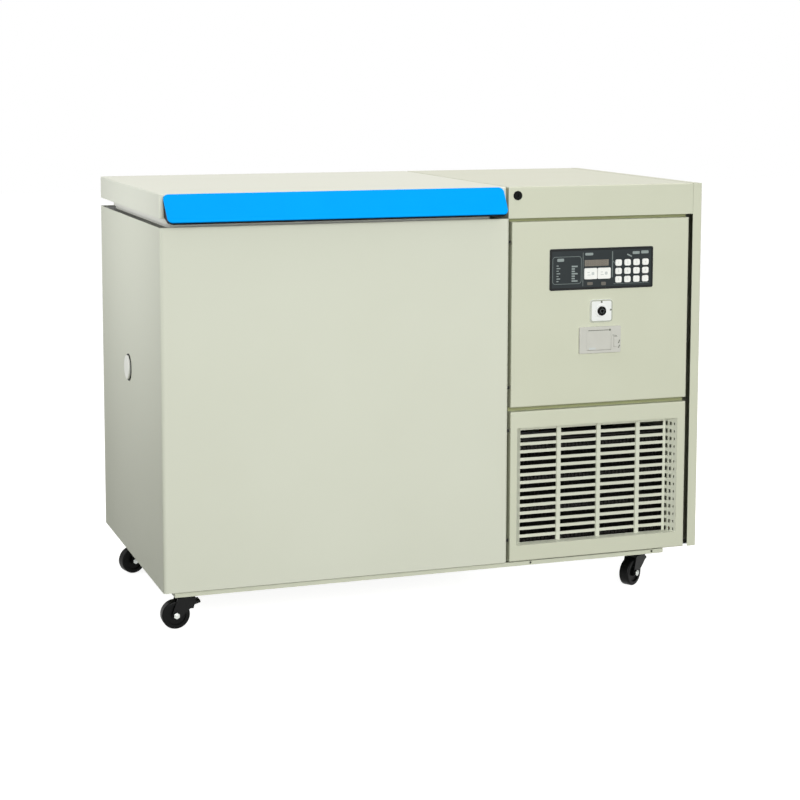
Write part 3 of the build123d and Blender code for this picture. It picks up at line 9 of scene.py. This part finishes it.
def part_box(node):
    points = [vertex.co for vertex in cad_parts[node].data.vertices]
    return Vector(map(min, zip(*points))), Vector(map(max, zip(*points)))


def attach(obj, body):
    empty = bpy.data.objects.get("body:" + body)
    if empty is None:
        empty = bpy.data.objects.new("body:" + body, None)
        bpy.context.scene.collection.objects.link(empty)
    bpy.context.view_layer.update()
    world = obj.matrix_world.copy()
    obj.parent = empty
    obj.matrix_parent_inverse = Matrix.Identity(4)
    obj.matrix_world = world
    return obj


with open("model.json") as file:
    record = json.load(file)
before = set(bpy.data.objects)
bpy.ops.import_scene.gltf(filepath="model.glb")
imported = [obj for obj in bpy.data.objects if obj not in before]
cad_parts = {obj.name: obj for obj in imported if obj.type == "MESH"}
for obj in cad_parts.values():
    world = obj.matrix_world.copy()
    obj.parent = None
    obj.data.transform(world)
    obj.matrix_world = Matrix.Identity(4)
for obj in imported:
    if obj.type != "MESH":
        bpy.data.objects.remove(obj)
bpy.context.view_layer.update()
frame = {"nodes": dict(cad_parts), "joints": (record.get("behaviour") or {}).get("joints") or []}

MM = 0.001
PRINT = 0.12      # how far print stands up from its face, in millimetres
SPREAD = 0.03     # how much the roughness of a surface varies to each side
nodes = frame["nodes"]
scene = bpy.context.scene


def low_corner(node):
    """A node's lowest corner at rest, in millimetres."""
    return Vector(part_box(node)[0]) / MM


def high_corner(node):
    """A node's highest corner at rest, in millimetres."""
    return Vector(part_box(node)[1]) / MM


# Places in millimetres, from the solids: origin on the floor under the middle of the object
LEFT, FRONT, BASE = low_corner("chest_shell")
CHEST_RIGHT = high_corner("chest_shell").x
DISPLAY = low_corner("display_bezel")
DISPLAY_FACE = DISPLAY.y


def linear(hex_colour, alpha=1.0):
    """An sRGB hex colour as linear red, green, blue and alpha."""
    out = []
    for start in (0, 2, 4):
        c = int(hex_colour[start:start + 2], 16) / 255
        out.append(c / 12.92 if c <= 0.04045 else ((c + 0.055) / 1.055) ** 2.4)
    return (*out, alpha)


def add_node(tree, kind, inputs=None, **settings):
    """Adds a node, sets it, and gives its sockets values or links."""
    new = tree.nodes.new(kind)
    for key, value in settings.items():
        setattr(new, key, value)
    for key, value in (inputs or {}).items():
        if isinstance(value, bpy.types.NodeSocket):
            tree.links.new(value, new.inputs[key])
        else:
            new.inputs[key].default_value = value
    return new


def finish(name, light, dark, patch, rough, grain=None, depth=0.0, stretch=(1, 1, 1), **sockets):
    """A surface with two close tones in patches, and a fine grain that only lifts the surface.

    patch and grain are sizes in millimetres. depth is the height of the grain in millimetres.
    Other arguments are values for the shader's own sockets.
    """
    mat = bpy.data.materials.new(name)
    mat.use_nodes = True
    tree = mat.node_tree
    shader = tree.nodes["Principled BSDF"]
    place = add_node(tree, "ShaderNodeTexCoord")
    turn = add_node(tree, "ShaderNodeMapping", {"Vector": place.outputs["Object"], "Scale": stretch})
    cloud = add_node(tree, "ShaderNodeTexNoise", {
        "Vector": turn.outputs["Vector"], "Scale": 1 / (patch * MM), "Detail": 3.0, "Roughness": 0.5})
    tone = add_node(tree, "ShaderNodeMix", {
        "Factor": cloud.outputs["Fac"], "A": linear(dark), "B": linear(light)}, data_type="RGBA")
    tree.links.new(tone.outputs[2], shader.inputs["Base Color"])
    shine = add_node(tree, "ShaderNodeMapRange", {
        "Value": cloud.outputs["Fac"], "From Min": 0.3, "From Max": 0.7,
        "To Min": rough - SPREAD, "To Max": rough + SPREAD})
    tree.links.new(shine.outputs["Result"], shader.inputs["Roughness"])
    if grain:
        fine = add_node(tree, "ShaderNodeTexNoise", {
            "Vector": turn.outputs["Vector"], "Scale": 1 / (grain * MM), "Detail": 2.0})
        bump = add_node(tree, "ShaderNodeBump", {
            "Height": fine.outputs["Fac"], "Distance": depth * MM, "Strength": 0.6})
        tree.links.new(bump.outputs["Normal"], shader.inputs["Normal"])
    for key, value in sockets.items():
        shader.inputs[key.replace("_", " ")].default_value = value
    return mat


# Powder coat: baked polyester powder on folded steel. It gives a soft gloss with a faint orange
# peel, about 3 mm from crest to crest, drawn a little coarser so that it shows. The chest's shell
# is a little duller than the lid, and the machine compartment's panels are a little more olive.
cream = finish("cream_powder_coat", "DADDCF", "D5D8C9", 160, 0.42, grain=5, depth=0.05,
               Specular_IOR_Level=0.35)
cream_side = finish("cream_powder_coat_shell", "D8DBCD", "D3D6C7", 200, 0.5, grain=5, depth=0.05,
                    Specular_IOR_Level=0.1)
cream_panel = finish("cream_powder_coat_panels", "CED1BE", "C8CBB7", 160, 0.42, grain=5, depth=0.05,
                     Specular_IOR_Level=0.35)
cream_frame = finish("cream_powder_coat_frame", "CFD2C1", "C6CAB5", 80, 0.5, grain=4, depth=0.05)
# The same coat on the frame behind the gaps between the panels, coloured darker and more olive: painted shade
# for those gaps.
gap_shade_coat = finish("painted_shade_coat_in_gaps", "9DA17A", "8F936C", 40, 0.7, grain=4, depth=0.05,
                  Specular_IOR_Level=0.2)
# Stainless liner: cold rolled with a fine brushed grain along the sheet.
steel = finish("stainless_liner", "C9CCCC", "BFC3C3", 60, 0.34, grain=3, depth=0.02,
               stretch=(0.08, 0.08, 1), Metallic=1.0)
# Zinc plate on the hinges, the base pan and the electrical box: bright, slightly cloudy.
zinc = finish("zinc_plate", "B4B8B8", "9EA3A3", 14, 0.36, grain=2, depth=0.02, Metallic=1.0)
# Polyurethane foam, cut or skinned, with small cells.
foam = finish("rigid_foam", "E6D39A", "DCC688", 20, 0.9, grain=1.5, depth=0.4)
# Bare copper tube, drawn and then darkened a little by brazing heat.
copper = finish("drawn_copper", "B87A50", "96603E", 30, 0.35, Metallic=1.0)
# Aluminium fins under a film of dust; their near-black colour is painted shade, for the shade behind the
# grille.
fins = finish("condenser_fins", "2E2B28", "1E1C1A", 25, 0.6, grain=3, depth=0.1, Metallic=0.3)
# Stoved black enamel on pressed steel.
black_sheet = finish("black_enamel", "101112", "0B0C0D", 50, 0.45, grain=3, depth=0.03,
                     Specular_IOR_Level=0.2)
# Rubber buffers and grommets, foam lagging round the heat exchanger, and a glass-fibre board.
rubber = finish("moulded_rubber", "1C1D1D", "131414", 18, 0.75, grain=1.5, depth=0.05,
                Specular_IOR_Level=0.3)
lagging = finish("foam_lagging", "2E2F2F", "222323", 20, 0.9, grain=3, depth=0.3)
board = finish("circuit_board", "35633F", "2A5233", 12, 0.5)
# Moulded ABS and polypropylene: spark-eroded tool texture, faint at this distance.
black_plastic = finish("black_abs", "0A0B0C", "060707", 25, 0.55, grain=1.5, depth=0.03,
                       Specular_IOR_Level=0.1)
white_plastic = finish("white_abs", "ECEEEC", "E4E8E8", 25, 0.35, grain=2, depth=0.02)
cap_plastic = finish("white_polypropylene", "F0F1EC", "E6E8E0", 20, 0.5, grain=2, depth=0.03)
grille_plastic = finish("cream_moulded_grille", "D4D7C8", "CBCEBD", 30, 0.5, grain=2, depth=0.03)
recorder_plastic = finish("grey_white_abs", "C7C7C0", "BFBFB8", 20, 0.5, grain=2, depth=0.03)
lid_plastic = finish("lid_liner_abs", "E0E2DA", "D6D8CF", 60, 0.4, grain=2, depth=0.03)
rim_plastic = finish("breaker_strip_pvc", "5E605B", "52544F", 60, 0.5, grain=2, depth=0.03)
blue_plastic = finish("blue_gloss_abs", "00A2FC", "009BF4", 120, 0.42, grain=4, depth=0.02,
                      Specular_IOR_Level=0.02)
# Silicone gasket and keys: soft, matte, a slight sheen.
gasket = finish("silicone_gasket", "E4E5DD", "DBDCD3", 30, 0.7, grain=3, depth=0.05)
silicone = finish("silicone_keys", "F4F5F2", "EBEDEA", 10, 0.55, grain=1, depth=0.02)
# Polyester film over the display board, with its print in grey.
display_film = finish("display_film", "252C2E", "1F2527", 15, 0.45, grain=1, depth=0.01,
                      Specular_IOR_Level=0.2)
film_edge = finish("display_film_edge", "0C1011", "070A0B", 10, 0.5, Specular_IOR_Level=0.2)
print_grey = finish("grey_print", "66716F", "566160", 6, 0.5)
print_pale = finish("pale_print", "8E9998", "7A8584", 6, 0.5)
print_key = finish("key_print", "CBD0CF", "BEC4C3", 4, 0.5)
print_brown = finish("unlit_digits", "5E5A52", "55514A", 5, 0.5)
# Painted shade in a grey ring round the key switch's white plate, for its rounded edge, and painted marks of
# the key switch and the recorder.
plate_edge = finish("switch_rim_painted_shade", "B0B4A6", "A2A698", 8, 0.5)
plate_mark = finish("plate_mark", "6E7268", "5E6258", 4, 0.5)
# Casters: black zinc on pressed steel, a moulded nylon wheel, and a bright axle nut.
wheel_rubber = finish("caster_wheel", "090A0A", "050606", 10, 0.4, grain=1.5, depth=0.03,
                      Specular_IOR_Level=0.1)
caster_metal = finish("caster_black_zinc", "0C0D0D", "070808", 8, 0.38, grain=1, depth=0.02,
                      Specular_IOR_Level=0.14)
bright_zinc = finish("bright_zinc", "D2D6D2", "B6BAB6", 5, 0.28, grain=1, depth=0.01, Metallic=1.0)
# Black nickel on the two locks, and the tinted acrylic window over the digits.
lock_metal = finish("lock_black_nickel", "090A0B", "050607", 6, 0.35, Specular_IOR_Level=0.08)
smoked = finish("smoked_window", "857F75", "757067", 8, 0.35, Specular_IOR_Level=0.2)

by_material = (
    (cream_side, "chest_shell"), (cream, "lid_shell"), (cream_frame, "base_frame"), (gap_shade_coat, "panel_frame"),
    (cream_panel, "side_panel back_panel top_cover control_panel grille_panel"),
    (grille_plastic, "grille"), (rim_plastic, "chest_rim"), (steel, "chest_liner"),
    (foam, "chest_insulation lid_insulation"), (lid_plastic, "lid_liner"), (gasket, "lid_gasket"),
    (copper, "evaporator_coil filter_driers refrigerant_pipes"), (cap_plastic, "port_cap"),
    (zinc, "base_pan electrical_box hinge_brackets hinge_arms hinge_pins"),
    (black_plastic, "port_tube condenser_fan power_inlet lid_handle_core"), (blue_plastic, "lid_handle_cover"),
    (fins, "condenser"), (black_sheet, "fan_shroud fan_motor compressors"), (rubber, "compressor_grommets"),
    (lagging, "heat_exchanger"), (board, "control_board"), (display_film, "display_bezel"),
    (smoked, "display_window"), (silicone, "number_keys function_key_left function_key_right"),
    (white_plastic, "key_switch_plate"), (lock_metal, "key_switch_barrel lid_lock_body lid_lock_barrel"),
    (recorder_plastic, "recorder_body recorder_door recorder_rocker"), (caster_metal, "caster_plates"),
)
by_node = {name: mat for mat, names in by_material for name in names.split()}
for name, thing in nodes.items():
    if name.startswith(("fork", "brake")):
        by_node[name] = caster_metal
    if name.startswith("wheel"):
        by_node[name] = wheel_rubber
    thing.data.materials.clear()
    thing.data.materials.append(by_node[name])

# Camera: matched to the photograph's edges. FOCAL, and CENTRE_Y, the row that the view axis meets,
# are in pixels of a picture 800 pixels wide. EYE is measured from the chest's low front left corner.

PIXELS, SENSOR = 800, 36
FOCAL, CENTRE_Y = 1868.528, 270.0
YAW, PITCH, ROLL = radians(19.395), radians(6.207), radians(0.103)
EYE = Vector((-831.899 + LEFT, -3902.850 + FRONT, 1139.942 + BASE)) * MM
across = Vector((cos(YAW), -sin(YAW), 0))
ahead = Vector((sin(YAW), cos(YAW), 0))
upward = Vector((0, 0, 1))
view = ahead * cos(PITCH) - upward * sin(PITCH)
lift = upward * cos(PITCH) + ahead * sin(PITCH)
view_right = across * cos(ROLL) + lift * sin(ROLL)
view_up = lift * cos(ROLL) - across * sin(ROLL)
camera = bpy.data.objects.new("camera", bpy.data.cameras.new("camera"))
scene.collection.objects.link(camera)
camera.data.sensor_width = SENSOR
camera.data.lens = FOCAL * SENSOR / PIXELS
camera.data.shift_y = (CENTRE_Y - PIXELS / 2) / PIXELS
camera.data.clip_end = 100
turned = Matrix((view_right, view_up, -view)).transposed().to_4x4()
camera.matrix_world = Matrix.Translation(EYE) @ turned
scene.camera = camera

# Pieces. Each is drawn on a front plane, with x to the right and z up, and faces -Y.


def rounded(x, z, w, h, r, steps=5):
    """The outline of a rectangle with round corners, about its middle."""
    points = []
    for corner, (sx, sz) in enumerate(((1, 1), (-1, 1), (-1, -1), (1, -1))):
        for step in range(steps + 1):
            angle = pi / 2 * (corner + step / steps)
            points.append((x + sx * (w / 2 - r) + r * cos(angle), z + sz * (h / 2 - r) + r * sin(angle)))
    return points


def disc(x, z, r, sides=32, start=0.0):
    """The outline of a round or many-sided disc."""
    angles = [start + 2 * pi * n / sides for n in range(sides)]
    return [(x + r * cos(angle), z + r * sin(angle)) for angle in angles]


def bar(x0, z0, x1, z1, w):
    """The outline of a straight line of this width."""
    along = Vector((x1 - x0, z1 - z0)).normalized()
    side = Vector((-along.y, along.x)) * w / 2
    a, b = Vector((x0, z0)), Vector((x1, z1))
    return [tuple(p) for p in (a + side, a - side, b - side, b + side)]


def plate(name, body, mat, shapes, back, thick, soft=0.0, turn=None):
    """Flat shapes that stand up from a plane and face the front, as one mesh.

    A shape is one outline, or a pair of outlines with as many points for a ring. back is the y of
    the plane that they stand on, and soft the width of the chamfer round their front edges.
    """
    mesh = bpy.data.meshes.new(name)
    bm = bmesh.new()
    for shape in shapes:
        ring = isinstance(shape[0][0], tuple)
        loops = shape if ring else (shape,)
        verts = [[bm.verts.new((x * MM, back * MM, z * MM)) for x, z in loop] for loop in loops]
        if ring:
            count = len(verts[0])
            after = [(n + 1) % count for n in range(count)]
            faces = [bm.faces.new((verts[0][n], verts[0][m], verts[1][m], verts[1][n]))
                     for n, m in enumerate(after)]
        else:
            faces = [bm.faces.new(verts[0])]
        grown = bmesh.ops.extrude_face_region(bm, geom=faces)
        moved = [v for v in grown["geom"] if isinstance(v, bmesh.types.BMVert)]
        bmesh.ops.translate(bm, verts=moved, vec=(0, -thick * MM, 0))
    bmesh.ops.recalc_face_normals(bm, faces=bm.faces)
    if soft:
        front = (back - thick) * MM
        edges = [e for e in bm.edges if all(abs(v.co.y - front) < 1e-7 for v in e.verts)
                 and any(abs(f.normal.y) < 0.5 for f in e.link_faces)]
        bmesh.ops.bevel(bm, geom=edges, offset=soft * MM, segments=2, affect="EDGES", profile=0.5)
    bm.to_mesh(mesh)
    bm.free()
    if turn:
        mesh.transform(turn)
    mesh.materials.append(mat)
    piece = bpy.data.objects.new(name, mesh)
    scene.collection.objects.link(piece)
    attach(piece, body)
    return piece


def digit(name, body, mat, text, x, z, face, height):
    """A plain digit standing a hair proud of a front face."""
    curve = bpy.data.curves.new(name, "FONT")
    curve.body = text
    curve.size = height * MM
    curve.align_x, curve.align_y = "CENTER", "CENTER"
    curve.extrude = PRINT * MM
    curve.resolution_u = 4
    maker = bpy.data.objects.new(name + "_outline", curve)
    mesh = bpy.data.meshes.new_from_object(maker)
    bpy.data.objects.remove(maker)
    mesh.transform(Matrix.Translation((x * MM, face * MM, z * MM)) @ Matrix.Rotation(pi / 2, 4, "X"))
    mesh.materials.clear()
    mesh.materials.append(mat)
    piece = bpy.data.objects.new(name, mesh)
    scene.collection.objects.link(piece)
    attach(piece, body)


# The display's film: a black edge, a rounded frame line, two scales, dividers and panel marks

dx, dz = DISPLAY.x, DISPLAY.z      # places below are in millimetres from the film's low left corner
display_w = high_corner("display_bezel").x - dx
display_h = high_corner("display_bezel").z - dz
mid_x, mid_z = dx + display_w / 2, dz + display_h / 2
edge_w = 5.5
plate("display_edge", "cabinet", film_edge,
      [(rounded(mid_x, mid_z, display_w, display_h, 4),
        rounded(mid_x, mid_z, display_w - 2 * edge_w, display_h - 2 * edge_w, 2))], DISPLAY_FACE, PRINT)
frame_mid = (dx + 43.3, dz + 46)
plate("display_frame_line", "cabinet", print_grey,
      [(rounded(*frame_mid, 73, 64, 7), rounded(*frame_mid, 70.4, 61.4, 5.7))], DISPLAY_FACE, PRINT)
plate("display_dividers", "cabinet", print_grey,
      [bar(dx + 83.6, dz + 8, dx + 83.6, dz + 86, 1.4), bar(dx + 158.4, dz + 26, dx + 158.4, dz + 87, 2.6),
       bar(dx + 158.4, dz + 66, dx + 167, dz + 56, 1.6), bar(dx + 162, dz + 11, dx + 252, dz + 11, 1.0)],
      DISPLAY_FACE, PRINT)
scale_marks = []
for step in range(7):
    left_z, right_z = dz + 21 + step * 6, dz + 21 + step * 5.6
    scale_marks.append(bar(dx + 17, left_z, dx + (26 if step % 2 else 22), left_z, 2.2))
    scale_marks.append(bar(dx + 55, right_z, dx + (63 if step % 3 else 70), right_z, 3.4))
scale_marks.append(rounded(dx + 27, dz + 70, 17, 7, 2))
plate("display_scales", "cabinet", print_pale, scale_marks, DISPLAY_FACE, PRINT)
plate("display_marks", "cabinet", print_pale,
      [rounded(dx + 99, dz + 82, 20, 6, 2), rounded(dx + 219, dz + 82, 18, 6.5, 2),
       rounded(dx + 241.5, dz + 83, 19, 7, 2), bar(dx + 196, dz + 79, dx + 208, dz + 73.5, 3)],
      DISPLAY_FACE, PRINT)
plate("display_lower_marks", "cabinet", print_brown,
      [rounded(dx + 101.8, dz + 13.5, 14, 7, 2), rounded(dx + 136.2, dz + 12.5, 12, 8, 2)],
      DISPLAY_FACE, PRINT)

# Unlit digits behind the display window: seven bars each
window_low, window_high = low_corner("display_window"), high_corner("display_window")
digit_count, digit_w, digit_h, stroke, window_edge = 6, 5.6, 9.0, 0.9, 3
digit_pitch = (window_high.x - window_low.x - 2 * window_edge) / digit_count
segments = []
for number in range(digit_count):
    x = window_low.x + window_edge + (number + 0.5) * digit_pitch
    z = (window_low.z + window_high.z) / 2
    segments += [bar(x - digit_w / 2, z + side, x + digit_w / 2, z + side, stroke)
                 for side in (-digit_h / 2, 0, digit_h / 2)]
    segments += [bar(x + side, z + end, x + side, z + end + digit_h / 2 - 2 * stroke, stroke)
                 for side in (-digit_w / 2, digit_w / 2) for end in (-digit_h / 2 + stroke, stroke)]
plate("window_digits", "cabinet", print_brown, segments, window_low.y, PRINT)

# Plain digits on the keys, and two bars on each function key
keys_low, keys_high = low_corner("number_keys"), high_corner("number_keys")
key_face = keys_low.y
key_pitch, digit_size = (23.0, 19.5), 8
for row in range(3):
    for column in range(4):
        number = row * 4 + column
        text = "1234567890-."[number]
        x = (keys_low.x + keys_high.x) / 2 + (column - 1.5) * key_pitch[0]
        z = (keys_low.z + keys_high.z) / 2 + (1 - row) * key_pitch[1]
        digit(f"key_digit_{number + 1}", "number_keys", print_key, text, x, z, key_face,
              digit_size)
for side in ("left", "right"):
    low, high = low_corner(f"function_key_{side}"), high_corner(f"function_key_{side}")
    x, z = (low.x + high.x) / 2, (low.z + high.z) / 2
    plate(f"function_mark_{side}", f"function_key_{side}", print_key,
          [bar(x - 9, z + 3, x - 3, z + 3, 1.6), bar(x - 9, z - 3, x - 1, z - 3, 1.6),
           rounded(x + 5, z, 7, 7, 2)], low.y, PRINT)

# Key switch: a grey ring of painted shade round its white plate, for its rounded edge, two position
# marks, a raised collar and a ring printed on the barrel
plate_low, plate_high = low_corner("key_switch_plate"), high_corner("key_switch_plate")
barrel_low = low_corner("key_switch_barrel")
switch_w, switch_h = plate_high.x - plate_low.x, plate_high.z - plate_low.z
sx, sz = (plate_low.x + plate_high.x) / 2, (plate_low.z + plate_high.z) / 2
plate("switch_plate_edge", "cabinet", plate_edge,
      [(rounded(sx, sz, switch_w - 1.2, switch_h - 1.2, 7.4),
        rounded(sx, sz, switch_w - 7, switch_h - 7, 4.5))], plate_low.y, 0.3, soft=0.1)
plate("switch_position_marks", "cabinet", plate_mark,
      [bar(sx, sz + 24, sx, sz + 18.5, 4), bar(sx + 26, sz + 2, sx + 21.5, sz + 2, 4)], plate_low.y, 0.4)
plate("switch_collar", "cabinet", white_plastic,
      [(disc(sx, sz, 15.5, 40), disc(sx, sz, 11.2, 40))], plate_low.y, 1.6, soft=0.5)
plate("switch_key_mark", "key_switch", print_grey,
      [(disc(sx, sz, 5.2, 24), disc(sx, sz, 4.6, 24))], barrel_low.y, PRINT)

# Recorder: a paper slot over the door, small marks beside the rocker and one on the door
body_low = low_corner("recorder_body")
rx, rz, rface = body_low.x, body_low.z, body_low.y
plate("recorder_slot", "cabinet", plate_mark,
      [bar(rx + 22, rz + 53.5, rx + 74, rz + 53.5, 1.6), disc(rx + 77, rz + 53.5, 2.6, 20)], rface, PRINT)
plate("recorder_marks", "cabinet", plate_mark,
      [bar(rx + 99.4, rz + 21, rx + 102.6, rz + 29, 2.4), bar(rx + 99.4, rz + 10, rx + 102.6, rz + 17, 2.4),
       bar(rx + 84, rz + 41, rx + 95, rz + 39, 1.2)], rface, PRINT)
door_face = low_corner("recorder_door").y
plate("recorder_door_mark", "recorder_door", print_key,
      [rounded(rx + 33, rz + 11, 17, 4.5, 1)], door_face, PRINT)

# Four rubber buffers in the chest's right edge, beside the front panels
buffer_heights = (836.0, 501.0, 401.0, 144.0)
buffer_x, buffer_w, buffer_h = CHEST_RIGHT + 1.2, 3.0, 7.0
plate("edge_buffers", "cabinet", rubber,
      [rounded(buffer_x, height, buffer_w, buffer_h, 1.2) for height in buffer_heights],
      FRONT + 5.0, 4.0, soft=0.4)

# Axle nuts and axle ends on both cheeks of each caster's fork. cheek is measured from the wheel's
# middle along its axle.
cheek, nut_r, nut_t, axle_r, axle_out = 18.6, 7.2, 2.4, 3.9, 1.6
for name in ("front_left", "front_right", "back_left", "back_right"):
    low, high = low_corner(f"wheel_{name}"), high_corner(f"wheel_{name}")
    centre = (low + high) / 2
    joint = next(j for j in frame["joints"] if j["name"] == f"roll_{name}")
    axis = Vector(joint["axis"])
    for number, way in enumerate((1, -1)):
        out = axis * way
        side = Vector((0, 0, 1)).cross(out)
        turn = Matrix((side, -out, (0, 0, 1))).transposed().to_4x4()
        turn = Matrix.Translation(centre * MM) @ turn
        plate(f"axle_nut_{name}_{number + 1}", f"fork_{name}", bright_zinc,
              [disc(0, 0, nut_r, 6, pi / 6)], -cheek, nut_t, soft=0.8, turn=turn)
        plate(f"axle_end_{name}_{number + 1}", f"fork_{name}", bright_zinc,
              [disc(0, 0, axle_r, 24)], -cheek - nut_t, axle_out, soft=0.6, turn=turn)

# Stage and light

scene.view_settings.view_transform = "Standard"
world = bpy.data.worlds.new("studio")
scene.world = world
world.use_nodes = True
sky = world.node_tree
sky.nodes.clear()
rays = add_node(sky, "ShaderNodeLightPath")
seen = add_node(sky, "ShaderNodeMath", {
    0: rays.outputs["Is Camera Ray"], 1: rays.outputs["Is Transmission Ray"]}, operation="MAXIMUM")
seen = add_node(sky, "ShaderNodeMath", {
    0: seen.outputs[0], 1: rays.outputs["Is Glossy Ray"]}, operation="MAXIMUM")
soft = add_node(sky, "ShaderNodeBackground", {"Color": linear("F6F8F6"), "Strength": 0.28})
white = add_node(sky, "ShaderNodeBackground", {"Color": (1, 1, 1, 1), "Strength": 1.0})
both = add_node(sky, "ShaderNodeMixShader", {0: seen.outputs[0], 1: soft.outputs[0], 2: white.outputs[0]})
add_node(sky, "ShaderNodeOutputWorld", {"Surface": both.outputs[0]})

floor_mesh = bpy.data.meshes.new("floor")
reach = 14      # half the floor's width, in metres
floor_mesh.from_pydata([(-reach, -reach, 0), (reach, -reach, 0), (reach, reach, 0), (-reach, reach, 0)],
                       [], [(0, 1, 2, 3)])
floor = bpy.data.objects.new("floor", floor_mesh)
scene.collection.objects.link(floor)
floor_mat = bpy.data.materials.new("pale_floor")
floor_mat.use_nodes = True
tree = floor_mat.node_tree
tree.nodes.clear()
rays = add_node(tree, "ShaderNodeLightPath")
seen = add_node(tree, "ShaderNodeMath", {
    0: rays.outputs["Is Camera Ray"], 1: rays.outputs["Is Glossy Ray"]}, operation="MAXIMUM")
# What the floor sends back to the object is dim and olive, as in the photograph's shaded sides.
dull = add_node(tree, "ShaderNodeBsdfDiffuse", {"Color": linear("6E6E55")})
matt = add_node(tree, "ShaderNodeBsdfDiffuse", {"Color": linear("C9C9C6")})
glow = add_node(tree, "ShaderNodeEmission", {"Color": (1, 1, 1, 1), "Strength": 0.88})
lifted = add_node(tree, "ShaderNodeAddShader", {0: matt.outputs[0], 1: glow.outputs[0]})
both = add_node(tree, "ShaderNodeMixShader", {0: seen.outputs[0], 1: dull.outputs[0], 2: lifted.outputs[0]})
add_node(tree, "ShaderNodeOutputMaterial", {"Surface": both.outputs[0]})
floor_mesh.materials.append(floor_mat)


def lamp(name, spot, target, size, power, colour="FFFFFF"):
    """A square area lamp at one point, facing another. Power is in watts."""
    data = bpy.data.lights.new(name, "AREA")
    data.shape = "SQUARE"
    data.size = size
    data.energy = power
    data.color = linear(colour)[:3]
    thing = bpy.data.objects.new(name, data)
    scene.collection.objects.link(thing)
    thing.location = spot
    thing.rotation_euler = (Vector(target) - Vector(spot)).to_track_quat("-Z", "Y").to_euler()


# The key lamp stands low behind the camera, so that the handle throws no hard shadow. The left lamp
# is near the chest's left wall, level with the lid, so the wall darkens towards its foot.
lamp("key_softbox", (-0.1, -4.8, 1.5), (0.0, 0.0, 0.5), 2.4, 176)
lamp("top_softbox", (0.5, 0.2, 4.2), (0.2, 0.0, 0.9), 3.0, 90, "FFF9F6")
lamp("left_fill", (-1.4, 0.0, 0.97), (-0.65, 0.0, 0.97), 0.7, 5.5, "F8F8FA")
